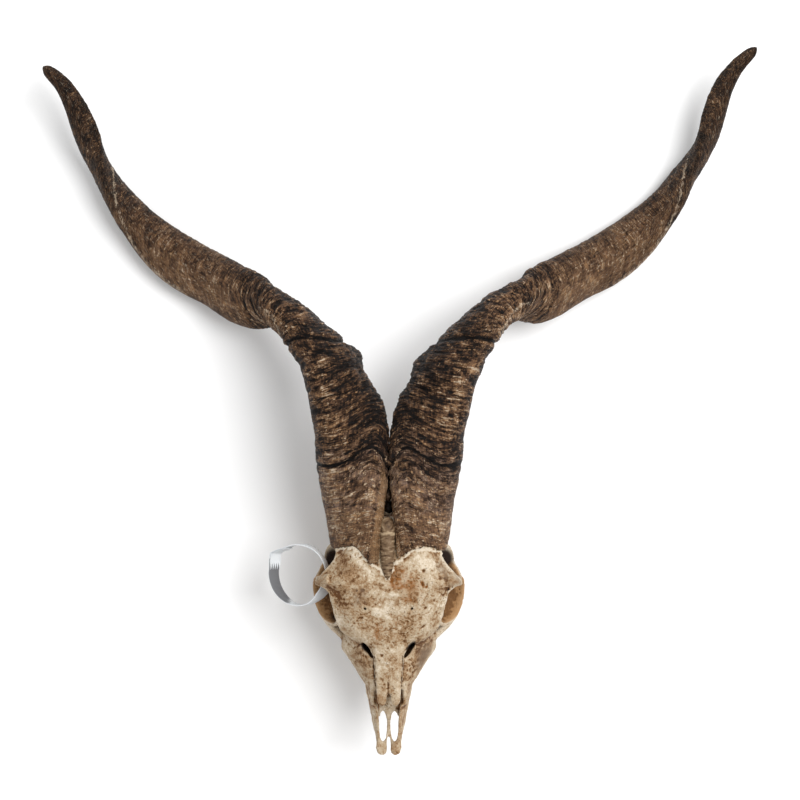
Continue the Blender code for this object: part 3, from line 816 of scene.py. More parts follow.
@dataclass
class Skull:
    """The skull without its lower jaw, fused from its bones, carved, worn and pitted.

    Masses and spaces are rows for ball(). Stains, pores and other marks are rows for spread(). A lump's row
    has its height and what grain() needs. The pairs of numbers are where a change begins and ends.
    """

    grid: float = 1
    triangles: int = 192000
    snout: Rows = (
        (-267, 71, 9, 13.6, 96, 16.2, 83, 14.5, 68), (-260, 78, 9.5, 14.4, 97, 17.6, 84, 17, 64),
        (-253, 100, 10, 15, 97.5, 19, 84, 19.3, 60.5), (-244, 106, 11, 18, 98, 25, 84, 23, 56),
        (-236, 108, 11.5, 21, 99, 30, 82, 26, 52), (-228, 110, 12, 24, 99, 35.5, 79, 29, 48),
        (-219, 113, 13, 27, 100, 42, 77, 32, 44), (-210, 116, 15, 31, 103, 41, 79, 34, 39),
        (-200, 118, 20, 33, 104, 37, 80, 34, 34), (-190, 118, 20, 31, 100, 32, 78, 30, 31),
    )
    forehead: Rows = (
        (-213, 22, 115.2, 109, 98), (-206, 37, 117.7, 107, 98), (-199, 43.5, 120.7, 108, 99),
        (-190, 46.5, 124.2, 112, 101), (-182, 48.5, 127.2, 115, 103), (-174, 50.5, 129.2, 117, 105),
        (-167, 52.5, 131.5, 118.5, 106), (-163, 57.5, 132, 117, 106), (-159, 64, 132.5, 114.5, 104),
        (-154.5, 62.5, 133, 116, 105), (-149, 57.5, 133, 118, 105), (-142.5, 51, 133, 119, 100),
        (-135, 46.5, 132.5, 117, 95), (-127, 46, 131, 112, 90), (-118, 42, 126, 104, 84),
        (-110, 37, 118, 97, 80), (-102, 31, 106, 88, 74),
    )
    nasals: Rows = (
        (-184, 7, 126.2), (-192, 10, 123.9), (-200, 12.6, 121.2), (-212, 14.4, 117.6), (-226, 13.6, 114.3),
        (-240, 12.6, 111.2), (-255, 11.6, 107.9),
    )
    socket_centre: tuple = (56.5, -176.5, 93)
    socket_facing: tuple = (0.87, -0.33, 0.36)
    socket_wall: Rows = ((0, 24.2), (5, 24.2), (12, 22), (20, 18.5), (28, 13.5))
    socket_hollow: Rows = ((-6, 24), (0, 21), (8, 20.3), (16, 18), (24, 14), (31, 9), (37, 4))
    paired_bones: tuple = (
        Bar(((5.8, -246, 107.2, 2.6, 6), (5.9, -254, 106, 2.4, 5.6), (6, -260, 105, 2.1, 5),
            (5.9, -264.5, 104.2, 1.7, 3.8), (5.8, -267.2, 103.6, 1, 1.7))),
        Bar(((16.5, -244, 81, 18, 2.6), (15.6, -255, 82, 17.5, 2.2), (14, -265, 83, 15, 2.1),
            (12.6, -275, 84, 12, 2.1), (11.2, -285, 85, 9, 2.2), (9.3, -294, 86, 6, 2.4),
            (8.3, -300, 87, 3.4, 2.8)), roll=15),
        Bar(((8.6, -294, 86.3, 2.6, 2.2), (7.4, -299.5, 86.8, 2.6, 3.8), (6.4, -304, 87.2, 2.5, 5.2),
            (6, -308.2, 87.6, 2.3, 4.9), (5.9, -311, 88, 1.6, 3.6), (5.9, -312.4, 88, 0.9, 1.6))),
        Bar(((3.9, -304, 86, 2, 1.7), (2.4, -298, 84, 1.9, 1.5), (1.3, -291, 81, 1.9, 1.4),
            (1.3, -270, 71, 2, 1.5))),
        Bar(((30, -222, 76, 6, 5), (37, -211, 75, 7, 4), (46, -203, 74, 7, 3.6), (54, -195, 73, 7, 3.4),
            (60, -185, 72, 6.5, 3.2), (63.5, -174, 71, 6, 3), (64, -162, 69, 5.6, 3),
            (60.5, -152, 66, 5.2, 3), (55.7, -145, 62, 4.8, 3), (52.5, -138, 58, 4.6, 3.2),
            (47, -131, 57, 5, 4.5), (36, -125, 58, 7, 6)), steps=36),
        Bar(((50, -155, 124, 5, 6), (57, -156.5, 118, 5, 4.6), (61.5, -158, 110, 4.8, 3.6),
            (63.2, -158.5, 97, 4.6, 3), (63.2, -159, 84, 4.6, 3),
            (62.5, -160, 70, 6, 3.4)), lean=(0, 1, 0)),
        Bar(((26, -106, 36, 9, 6), (30, -113, 22, 6, 4.5), (31.5, -119, 9, 4, 3),
            (31.5, -122.4, 0.55, 2.4, 2)), lean=(0, 1, 0)),
        Bar(((24, -134, 34, 5, 5), (32, -130, 38, 4.5, 4.5), (40, -127, 41, 4, 4))),
        Bar(((15, -212, 50, 6, 2), (13.5, -196, 46, 9, 1.8), (12.5, -180, 42, 8.5, 1.7),
            (12, -160, 45, 8, 2.2))),
        Bar(((28, -142, 100, 24, 15), (28, -126, 105, 28, 16), (28.5, -110, 110, 28, 16),
            (29, -96, 114, 26, 14.5), (29.3, -88, 116, 19, 10)), roll=-27, sides=20),
    )
    middle_bones: tuple = (
        Bar(((0, -281, 80, 2.4, 8.5), (0, -274, 80.5, 3, 10.5), (0, -266, 80, 3.4, 12),
            (0, -256, 77, 4, 13), (0, -246, 73, 4, 14)), sides=20),
        Bar(((0, -274, 73.5, 1.8, 9), (0, -268, 70, 2, 12.5), (0, -258, 65.5, 2.2, 15.5),
            (0, -240, 58, 2.4, 19), (0, -222, 50, 2.4, 21), (0, -207, 44, 2.2, 20)), sides=20),
        Bar(((0, -214, 92, 22, 14), (0, -190, 94, 26, 16), (0, -165, 94, 28, 18),
            (0, -138, 90, 30, 24)), sides=20),
        Bar(((0, -164, 50, 5, 8), (0, -145, 38, 5.5, 10), (0, -122, 24, 6, 10), (0, -108, 16, 5, 10))),
        Bar(((-33, -110, 50, 4, 4), (-25, -96, 62, 3.4, 3.8), (-12, -89, 70, 3, 4), (0, -87, 72, 3.6, 4.6),
            (12, -89, 70, 3, 4), (25, -96, 62, 3.4, 3.8), (33, -110, 50, 4, 4)), lean=(0, 1, 1)),
    )
    middle_hollows: tuple = (
        Bar(((0, -273, 93, 9, 10), (0, -262, 93, 9.5, 11), (0, -250, 88, 15, 12.5), (0, -232, 80, 22, 15.5),
            (0, -210, 80, 23, 15), (0, -198, 76, 18, 11)), sides=24),
        Bar(((0, -214, 66, 10, 12), (0, -198, 57, 10, 10.5), (0, -182, 46, 9, 9.5), (0, -160, 36, 9, 9))),
        Bar(((0, -124, 46, 9, 10), (0, -108, 33, 9.5, 10), (0, -92, 25, 10.5, 11), (0, -80, 19, 13, 13))),
    )
    paired_hollows: tuple = (
        Bar(((23.4, -210, 102, 16, 1.2), (18.5, -217, 102, 16, 2), (13.6, -225, 102, 15, 1.3))),
        Bar(((11.8, -246, 106, 4, 0.8), (11.6, -256, 103, 8, 1.1), (11.2, -268, 98, 11, 1.6))),
        Bar(((21, -179.5, 140, 1.7, 1.5), (20, -180.5, 118, 1.7, 1.5)), lean=(0, 1, 0)),
        Bar(((31, -262, 78, 2.6, 2.2), (23, -246, 76, 2.6, 2.2), (14, -234, 74, 2.6, 2.2))),
        Bar(((46, -127, 42, 2, 2), (33, -129, 38, 2, 2))),
    )
    seams: tuple = (
        Seam(((-0.4, -246), (-0.5, -254), (-0.6, -264)), 0.8, 0.9, 0.3),
        Seam(((-0.2, -228), (0.2, -237), (-0.4, -246)), 0.5, 0.2, 0.6),
        Seam(((12.6, -223), (12.2, -232), (11.6, -243), (11, -250)), 0.8, 1.1, 0.5),
        Seam(((-12.8, -223), (-12.8, -232), (-12, -243), (-11.4, -250)), 0.8, 1.1, 0.5),
        Seam(((47.7, -170), (50.5, -166), (54, -163), (59, -159)), 0.7, 0.9, 1.4),
        Seam(((44, -166), (47.7, -170), (45, -177), (42, -185)), 0.5, 0.5, 1.4),
        Seam(((36, -150), (44, -155), (52, -152), (58, -155)), 0.9, 0.5, 1.2),
        Seam(((30, -143), (38, -146), (46, -142)), 0.9, 0.4, 1.2),
        Seam(((-22, -150), (-33, -156), (-44, -158)), 0.8, 0.3, 1.5),
        Seam(((-12, -178), (-24, -188), (-36, -190)), 0.8, 0.3, 1.5),
        Seam(((12.6, -221), (15.5, -212), (13, -203), (6, -197), (0, -199), (-6, -197), (-13, -203),
            (-15.5, -212), (-12.8, -220)), 0.6, 0.35, 1.3),
        Seam(((24, -213), (31, -216), (38, -211), (46, -208)), 0.6, 0.5, 0.9),
        Seam(((-24, -213), (-31, -217), (-38, -211), (-46, -208)), 0.6, 0.5, 0.9),
        Seam(((19, -226), (23, -236), (17, -246)), 0.6, 0.5, 0.9),
        Seam(((27, -188), (31, -186), (37, -180)), 0.6, 0.5, 0.9),
        Seam(((41, -139), (44, -150), (51, -159), (60, -165)), 0.6, 0.4, 1.2),
    )
    dim_places: Rows = ((50, -173, 86, 23.5), (47.6, -148, 84, 21), (0, -262, 92, 9))
    # Painted shade: darkens the gaps behind the eye sockets and deep parts of the sockets, fading out above
    # the heights in deep_below.
    shaded_depths: Rows = (
        (50, -140, 9, 11, 20, 1), (-50, -140, 9, 11, -20, 1), (-52, -171, 6, 11, 0, 0.6),
        (48, -190, 8, 4, 30, 0.5), (-48, -192, 8, 5, -30, 0.7),
    )
    soft_places: Rows = (
        (0, -203, 22, 15), (0, -222, 8, 12, 0, 0.6), (62, -157, 7, 9), (-62, -157, 7, 9),
        (33, -205, 14, 7, 20, 0.6), (-33, -205, 14, 7, -20, 0.6),
    )
    pores: Rows = (
        (30.6, -147, 1.5, 1.8), (29.4, -158.5, 1.6, 3, 12, 1), (33, -161, 1, 1.6, -30, 0.8),
        (51.3, -164, 2, 1.5, 20, 0.9), (29.8, -196.6, 2.6, 0.9, 38, 1), (32.2, -179.6, 1.6, 0.8, 25, 0.8),
        (-22.4, -164, 1.6, 1.6, 0, 0.6), (-38, -166, 1.2, 1.4, 0, 0.5), (2.5, -155.6, 1.2, 2, 0, 0.8),
        (-6, -222, 1, 1.2, 0, 0.8), (47, -216, 1.8, 1.2, 40, 0.7),
    )
    # Most of these are stains; some on the +X side, such as the one over the frontal at (28, -166), darken
    # the side that the key light falls on, painted shade that evens it with the other side.
    tan: Rows = (
        (-32, -172, 22, 26), (-36, -150, 16, 14), (38, -172, 14, 26, 0, 0.45), (30, -222, 20, 26, 0, 0.8),
        (6, -306, 6, 6), (-6, -306, 6, 6), (14, -190, 16, 12, 0, 0.5), (2, -232, 14, 26, 0, 0.45),
        (-62, -157, 9, 11, 0, 0.9), (61, -157, 9, 11, 0, 0.6), (28, -166, 20, 26, 0, 0.45),
        (10, -284, 4, 22, 6, 0.9), (-10, -284, 4, 22, -6, 0.9), (30, -240, 8, 14, 0, 0.8),
        (40, -205, 20, 12, 0, 0.7), (10, -160, 16, 14, 0, 0.5), (-2, -205, 12, 10, 0, 0.6),
        (-26, -228, 12, 18, 0, 0.8), (0, -266, 14, 12), (0, -290, 16, 26, 0, 0.3),
    )
    # Most of these are stains; some on the +X side, such as the one over the maxilla at (30, -238), grey the
    # side that the key light falls on, painted shade that evens it with the other side.
    grey: Rows = (
        (-25, -178, 11, 10, 0, 0.6), (62, -156, 8, 12, 0, 0.9), (-62, -156, 8, 10, 0, 0.5),
        (30, -238, 9, 20, 0, 0.8), (47, -148, 6, 14, 10, 0.8), (38, -222, 12, 16, 0, 0.8),
        (0, -292, 14, 20, 0, 0.5), (2, -235, 12, 22, 0, 0.35), (-36, -146, 13, 9, 0, 0.7),
        (-24, -165, 10, 8, 0, 0.6), (34, -150, 6, 14, -20, 0.35), (-20, -232, 6, 9, 0, 0.6),
        (-44, -205, 10, 8, 0, 0.5),
    )
    pale: Rows = (
        (28, -140, 13, 12), (55, -163.5, 1, 6, -50, 1.5), (-4, -186, 10, 16, 20, 0.5),
        (40, -176, 12, 12, 0, 0.6), (-22, -141, 4.5, 13, 31, 1), (-9, -152, 8, 10, 25, 0.9),
        (0, -172, 13, 12, -30, 0.8), (36, -180, 12, 14, 0, 0.3), (4, -192, 14, 12, 0, 0.5),
        (0, -222, 8, 14, 0, 0.4), (-40, -192, 12, 7, -20, 0.6), (36, -196, 14, 8, 20, 0.6),
    )
    rust: Rows = (
        (9, -151, 9, 9, 0, 0.9), (22, -168, 13, 14, 0, 0.6), (-34, -192, 16, 8, 0, 0.5),
        (15, -163, 8, 14, 0, 0.7), (3, -160, 5, 5, 0, 0.7), (-9, -206, 5, 12, 8, 1),
        (5, -194, 14, 5, 0, 0.6), (29, -157, 7, 9, 0, 0.7), (-30, -140, 10, 6, 0, 0.5), (0, -263, 5, 5),
        (-44, -178, 8, 14, 0, 0.5), (-56, -190, 8, 9, 0, 0.9), (-57, -138, 6, 13, 0, 0.8),
        (57, -138, 6, 13, 0, 0.8), (50, -192, 8, 7, 0, 0.9), (9, -268, 3, 12, 8, 0.7),
        (-12, -268, 3, 12, -8, 0.7),
    )
    shades: Rows = ((-20.5, -216, 2.8, 6.6, 38, 1.1), (19.5, -214, 2.8, 6.6, -38, 1.1))
    border: Seam = Seam((
        (-53, -134), (-47.5, -131), (-41, -129), (-30, -127), (-24.5, -132), (-19.3, -138), (-13.5, -142),
        (-8, -146), (0, -154), (5, -141), (11.6, -136.5), (18.5, -131), (22.8, -129), (34, -128),
        (42.6, -131), (47.7, -134.4), (53, -135),
    ), 1.4, 0, 1.2)
    middle_masses: Rows = ((0, -127, 72, 34.5, 42, 37, -1), (0, -104, 47, 30, 15, 27, -1))
    paired_masses: Rows = (
        (27, -200, 50, 8.5, 17, 18, -1), (14.5, -103, 17, 9.5, 11, 13, 1), (23, -140, 27, 8.5, 13, 10, 1),
        (33, -122, 52, 8, 14, 15, 0), (47, -141, 62, 11, 15, 5, 0),
    )
    middle_spaces: Rows = ((0, -128, 73, 28.5, 35, 30.5, -1),)
    paired_spaces: Rows = ((47.6, -150, 88, 12.6, 18.4, 20.4, 0), (5.1, -287.3, 80, 3.6, 13.6, 26, 0))
    lumps: Rows = ((0.35, 9, 2, 0), (0.32, 2.4, 3, 2))
    upper: tuple = (80, 90)
    upward: tuple = (0.05, 0.45)
    lit_above: tuple = (104, 114)
    deep_below: tuple = (96, 106)
    pore_depth: float = 1.8
    pit_depth: float = 0.8
    pit_spacing: float = 3.4

    def build(self) -> None:
        """Fuses, carves, wears and pits the bone."""
        skull = self.fuse(self.bones(), "skull_bone")
        hollows = self.fuse(self.hollows(), "hollows")
        modify(skull, "BOOLEAN", operation="DIFFERENCE", object=hollows)
        bpy.data.objects.remove(hollows)
        modify(skull, "REMESH", mode="VOXEL", voxel_size=self.grid * MM)
        modify(skull, "SMOOTH", factor=0.5, iterations=3)
        self.soften(skull)
        self.pit(skull)
        share = self.triangles / (2 * len(skull.data.polygons))
        modify(skull, "DECIMATE", ratio=min(1, share))
        self.stain(skull)
        hand_over(skull, Slot.BONE, BoneFinish().build(), "skull")

    def fuse(self, pieces: Sequence[Piece], name: str) -> Piece:
        """Joins pieces and melts them into one surface.

        Args:
            pieces: The objects.
            name: The name of the one.

        Returns:
            The fused object.
        """
        made = join(pieces, name)
        modify(made, "REMESH", mode="VOXEL", voxel_size=self.grid * MM)
        return made

    def bones(self) -> list[Piece]:
        """Makes all the bones, still separate.

        Returns:
            The bones.
        """
        made = [self.snout_body(), self.forehead_body(), self.nasal_body()]
        made += [bar.build() for bar in self.middle_bones]
        made += [ball(row) for row in self.middle_masses]
        for side in Side:
            made += [bar.build(side.value) for bar in self.paired_bones]
            made.append(self.cone(side.value, self.socket_wall))
            made += [ball(row, side.value) for row in self.paired_masses]
        return made

    def hollows(self) -> list[Piece]:
        """Makes everything that is carved out.

        Returns:
            The hollows' shapes.
        """
        made = [bar.build() for bar in self.middle_hollows]
        made += [ball(row) for row in self.middle_spaces]
        for side in Side:
            made.append(self.cone(side.value, self.socket_hollow))
            made += [ball(row, side.value) for row in self.paired_spaces]
            made += [bar.build(side.value) for bar in self.paired_hollows]
        return made

    def snout_body(self) -> Piece:
        """Makes the maxillae, from the roof of the nose over the cheek to the palate.

        Returns:
            The body.
        """
        rows = []
        for y, top, roof, x1, z1, x2, z2, x3, z3 in self.snout:
            upper = (0, top, roof * 0.6, top - 0.4, roof, top - 3, x1, z1)
            lower = (x2, z2, x3, z3, x3 - 3.5, z3 - 1, x3 - 10, z3 + 2, x3 - 13, z3 + 6, 0, z3 + 7)
            rows.append((y, *upper, *lower))
        return loft(rows, corners=60, steps=50)

    def forehead_body(self) -> Piece:
        """Makes the frontal bones: a slab that is widest over the eyes.

        Returns:
            The body.
        """
        rows = []
        for y, wide, top, edge, under in self.forehead:
            upper = (0, top, wide * 0.33, top + 0.4, wide * 0.66, top - 1.6, wide * 0.92, edge + 3)
            rows.append((y, *upper, wide, edge - 1, wide * 0.9, edge - 6, wide * 0.55, under + 2, 0, under))
        return loft(rows, corners=60, steps=80)

    def nasal_body(self) -> Piece:
        """Makes the arched roof of the two nasal bones.

        Returns:
            The body.
        """
        rows = []
        for y, wide, top in self.nasals:
            upper = (0, top + 0.2, wide * 0.45, top - 0.1, wide * 0.82, top - 1.7)
            rows.append((y, *upper, wide, top - 5, wide * 0.85, top - 6, wide * 0.5, top - 4, 0, top - 4))
        return loft(rows, corners=40, steps=36)

    def cone(self, side: int, rows: Rows) -> Piece:
        """Makes a cone about the axis of an eye socket.

        Args:
            side: 1 for the left, -1 for the right.
            rows: Pairs of a depth and a radius.

        Returns:
            The cone.
        """
        mirror = Vector((side, 1, 1))
        centre = mirror * Vector(self.socket_centre)
        facing = (mirror * Vector(self.socket_facing)).normalized()
        stations = [(*(centre - facing * depth), radius, radius) for depth, radius in rows]
        return Bar(stations, sides=40, steps=16).build()

    def above(self, points: Array, normals: Array) -> Array:
        """1 on what faces up and lies high, 0 underneath and inside."""
        return smooth(points[:, 2], *self.upper) * smooth(normals[:, 2], *self.upward)

    def soften(self, skull: Piece) -> None:
        """Rounds off the places where the bones were joined at sharp angles.

        Args:
            skull: The bone.
        """
        points = points_of(skull)
        weight = np.clip(spread(self.soft_places, points), 0, 1)[:, None]
        move_points(skull, points + (surroundings(skull, 40) - points) * weight)

    def pit(self, skull: Piece) -> None:
        """Moves the surface: lumps, pores, seams and the ragged edge under the sheaths.

        Args:
            skull: The bone.
        """
        points, normals = points_of(skull), normals_of(skull)
        above = self.above(points, normals)
        lift = sum(grain(points, size, *more) * height for height, size, *more in self.lumps)
        for pore in self.pores:
            lift -= spread([pore], points) * above * self.pore_depth
        for seam in self.seams:
            lift -= seam.near(points) * above * seam.depth
        lift -= self.pitting(points) * self.pit_depth
        lift += self.border.near(points) * above * (1 + grain(points, 2.2, 1, 9))
        points = points + normals * lift[:, None]
        points[:, 2] = np.maximum(points[:, 2], 0)
        move_points(skull, points)

    def pitting(self, points: Array) -> Array:
        """Scatters small pores, in patches.

        Args:
            points: Places in millimetres.

        Returns:
            How deep in a pore each is, from 0 to 1.
        """
        shifted = (points / self.pit_spacing).tolist()
        near = np.array([noise.voronoi(place)[0][0] for place in shifted])
        return (1 - smooth(near, 0.1, 0.34)) * smooth(grain(points, 14, 2, 4), -0.1, 0.5)

    def inside(self, points: Array, normals: Array) -> Array:
        """Finds where painted shade darkens the bone: what lies in the eye sockets, behind them and in the
        nose.

        Args:
            points: Places in millimetres.
            normals: The surface's directions there.

        Returns:
            1 in there, less on the underside and 0 on the outside.
        """
        mirrored = points.copy()
        mirrored[:, 0] = np.abs(mirrored[:, 0])
        found = smooth(-normals[:, 2], 0.2, 0.7) * 0.3
        for *centre, reach in self.dim_places:
            away = np.linalg.norm(mirrored - centre, axis=1)
            found = np.maximum(found, 1 - smooth(away, reach - 3, reach + 1))
        return found * (1 - smooth(points[:, 2], *self.lit_above))

    def stain(self, skull: Piece) -> None:
        """Paints the masks that the finish reads.

        Args:
            skull: The bone.
        """
        points, normals = points_of(skull), normals_of(skull)
        above = self.above(points, normals)
        for name in ("tan", "grey", "pale", "rust"):
            reach = 1 if name == "rust" else above
            paint(skull, name, np.clip(spread(getattr(self, name), points), 0, 1) * reach)
        # This mask holds grime in the pores and seams, and painted shade in the lacrimal slits and the deep
        # gaps round the eye sockets.
        dirt_and_shade = spread(self.pores, points) * 0.65
        for seam in self.seams:
            dirt_and_shade += seam.near(points) * seam.depth * 0.7
        dirt_and_shade = np.clip(dirt_and_shade, 0, 1) * above + spread(self.shades, points)
        dirt_and_shade += spread(self.shaded_depths, points) * (1 - smooth(points[:, 2], *self.deep_below))
        paint(skull, "dirt_and_shade", np.clip(dirt_and_shade, 0, 1))
        paint(skull, "edge", self.border.near(points) * above)
        # Grime and painted shade in creases and hollows; below zero, on ridges, it is painted highlight.
        low = cavity(skull, 6) * 1.6 + cavity(skull, 60) * 0.35
        paint(skull, "low", np.clip(low, -0.6, 1.2))
        # Painted shade: the eye sockets, the hollows behind them, the nose and the underside.
        paint(skull, "hollow", self.inside(points, normals))


@dataclass
class Horn:
    """One horn sheath: a lens whose sharp keel winds round it, ringed, furrowed and knobbed.

    The wave is the coordinate that the wrinkles follow, and the share runs across the horn from -1 outside to
    1 inside. A table of pairs says what holds at each place on one of them. Narrowings, knobs and lobes are a
    place along the horn, a half width and an amount.
    """

    side: Side
    node: str
    stations: Rows
    knobs: Rows
    rim: Rows
    groove: Rows
    ledge: Rows
    spots: Rows
    tilt: float = 9
    # sheen: how strong the painted sheen is, a tan band of painted highlight along the middle of the horn.
    sheen: float = 0.4
    strip: float = 1.1
    length: float = 580
    rings: int = 780
    corners: int = 112
    sharpness: float = 0.25
    ledge_height: float = 135.5
    bend: tuple = (185, 260)
    lag: float = 18
    step: tuple = (265, 269)
    lobes: Rows = ((294, 18, 2.2), (258, 9, -3.6))
    narrowings: Rows = ((62, 5, 0.03), (178, 6, 0.05), (300, 8, 0.03))
    arch: Rows = (
        (0, -4), (3, 4), (6, 10), (10, 15), (15, 17), (22, 14), (28, 9.4), (35, 5), (42, 1), (52, -1),
        (60, 0),
    )
    arch_left: Rows = ((0, 0.25), (50, 0.7), (66, 1), (90, 0.8), (120, 0.4), (160, 0.15), (185, 0))
    tilt_left: Rows = ((75, 0), (105, 1), (150, 1), (175, 0))
    trailing: Rows = ((-1, -24), (-0.4, -7), (0, 0), (1, 1))
    noises: tuple = (
        ((20, 20, 7.5), 2), ((10, 10, 2.8), 2), ((8, 8, 1.4), 1), ((5, 5, 4), 2), ((1.6, 1.6, 18), 1),
    )
    bold: Rows = ((0, 0.7), (60, 0.8), (75, 1.4), (180, 1.6), (262, 1.3), (275, 0.45), (560, 0.35))
    furrows: Rows = (
        (70.4, 1.9, 2.1, 1.5, 0), (66.5, 0.7, 0.7, 1.5, 0), (76, 0.7, 0.6, 1.5, 0), (112, 0.8, 0.7, 3, 0),
        (131, 1, 0.9, 3, 0), (150, 0.9, 0.8, 3, 0), (164, 0.7, 0.7, 2, 4), (180.5, 1.9, 2, 2.2, 7),
        (187, 1, 0.8, 2.2, 7), (206, 0.8, 0.8, 1.5, 0), (228, 0.8, 0.9, 1.5, 0), (246, 0.8, 0.8, 1.5, 0),
        (267, 1.2, 1, 1, 0),
    )
    greyed: Rows = ((0, 0.2), (30, 0.8), (70, 0.9), (110, 0.1), (270, 0), (290, 0.1), (560, -0.1))
    vivid: Rows = ((0, 0.65), (45, 0.7), (72, 0.95), (262, 0.95), (280, 0.45), (400, 0.5), (560, 0.6))
    blacks: Rows = (
        (0, -0.15), (50, 0), (62, 0.3), (72, 0.65), (90, 0.65), (130, 0.8), (178, 0.9), (200, 0.65),
        (225, 0.55), (262, 0.55), (272, 0.25), (390, 0.35), (440, 0.7), (560, 0.7),
    )
    inner_blacks: Rows = ((60, 0), (75, 0.35), (260, 0.35), (275, 0.3), (420, 0.1))
    # Where along the horn the painted sheen lies.
    middle_tan: Rows = ((75, 0), (95, 1), (230, 1), (262, 0))
    keel: Rows = ((330, -0.98), (385, -0.93), (412, -0.68), (433, -0.35), (455, 0.2), (472, 0.7))
    ridge: Rows = ((175, -0.95), (192, -0.65), (210, -0.36), (228, -0.2), (250, -0.1))

    def build(self) -> None:
        """Sweeps, wrinkles and paints the sheath."""
        rows = even_steps(self.stations, self.rings)
        places = np.linspace(0, self.length, self.rings)
        angles = np.linspace(0, WHOLE_TURN, self.corners, endpoint=False)
        rings = np.array([self.ring(*args, angles) for args in zip(rows, places, self.frames(rows))])
        outward = rings - rows[:, None, :3]
        outward /= np.linalg.norm(outward, axis=2, keepdims=True)
        relief, masks = self.wrinkle(rings, rows, places, angles)
        rings = rings + outward * relief[:, :, None]
        rings[:, :, 2] = np.maximum(rings[:, :, 2], 0)
        sheath = tube(f"{self.node}_sheath", rings)
        for name, values in masks.items():
            paint(sheath, name, values.ravel())
        hand_over(sheath, Slot.SHEATH, SheathFinish().build(f"{self.node}_finish"), self.node)

    def frames(self, rows: Array) -> list[tuple[Array, Array]]:
        """Finds each ring's directions.

        Args:
            rows: Each ring's middle, half sides and keel turn.

        Returns:
            For each ring, the direction of the keel and the one across it.
        """
        made = []
        for (t, up, across), row in zip(ring_frames(rows[:, :3], (0, 0, 1)), rows):
            turn = math.radians(row[5])
            keel = up * math.cos(turn) - across * (self.side.value * math.sin(turn))
            made.append((keel, np.cross(t, keel)))
        return made

    def ring(self, row: Array, place: float, way: tuple, angles: Array) -> Array:
        """Makes one ring of the sheath.

        Args:
            row: Its middle, half sides and keel turn.
            place: How far along the horn it is.
            way: The keel's direction and the one across it.
            angles: The angle of each corner from the keel.

        Returns:
            The corners.
        """
        keel, flat = way
        sharp = np.cos(angles)
        swell = 1 - sum(share * hump(place, at, wide) for at, wide, share in self.narrowings)
        knob = sum(share * hump(place, at, wide) for at, wide, share in self.knobs)
        high = row[3] * sharp * swell * (1 + knob * smooth(sharp, 0.6, 1))
        wide = row[4] * np.sin(angles) * (1 - self.sharpness * sharp) * swell
        left_over = min(1, (self.length - place) / 6)
        end = max(0.05, math.sqrt(1 - (1 - left_over) ** 2))
        ring = row[:3] + end * (keel * high[:, None] + flat * wide[:, None])
        turned = (angles + math.pi) % WHOLE_TURN - math.pi
        self.raise_ledge(ring, turned * self.side.value, place)
        self.slant(ring, row[:3], place)
        return ring

    def raise_ledge(self, ring: Array, turned: Array, place: float) -> None:
        """Raises the strip beside the midline, near the horn's base.

        Args:
            ring: The corners, which this moves.
            turned: The angle of each from the keel, positive on the outside.
            place: How far along the horn the ring is.
        """
        strip = smooth(turned, -1.15, -0.9) * (1 - smooth(turned, -0.1, 0.15)) * (1 - smooth(place, 22, 62))
        ring[:, 2] += strip * np.maximum(0, self.ledge_height - ring[:, 2])
        reach = read_off(self.ledge, ring[:, 1])
        pulled = strip * smooth(-turned, 0.5, 1) * (reach - np.abs(ring[:, 0]))
        ring[:, 0] += self.side.value * pulled

    def slant(self, ring: Array, centre: Array, place: float) -> None:
        """Slants the first rings so that the rim follows the bone.

        Args:
            ring: The corners, which this moves.
            centre: The ring's middle.
            place: How far along the horn the ring is.
        """
        above = ring[:, 2] - centre[2]
        wanted = read_off(self.rim, ring[:, 0] * self.side.value)
        ragged = grain(ring * (1, 0, 1), 2.4, 3, 6) * 2.2
        forward = (wanted + ragged - ring[:, 1] + place) * np.clip(above / 12, 0, 1)
        backward = np.clip(-above, 0, None) * 0.95
        ring[:, 1] += forward * max(0, 1 - place / 22) + backward * max(0, 1 - place / 90)

    def wave(self, rings: Array, s: Array, share: Array) -> Array:
        """Works out the coordinate whose level lines the wrinkles follow.

        Near the base its lines arch up beside the midline and then lie straight across the picture.
        Beyond the bend they lie across the horn.

        Args:
            rings: The corners of each ring.
            s: The distance along the horn.
            share: The place across the horn.

        Returns:
            The coordinate in millimetres.
        """
        forward = rings[:, :, 1] - self.stations[0][1]
        level = forward - read_off(self.arch, np.abs(rings[:, :, 0])) * read_off(self.arch_left, forward)
        level = level - self.tilt * np.clip(share, -1, 1) * read_off(self.tilt_left, forward)
        bend = smooth(s, *self.bend)
        return level * (1 - bend) + (s - self.lag - read_off(self.trailing, share)) * bend

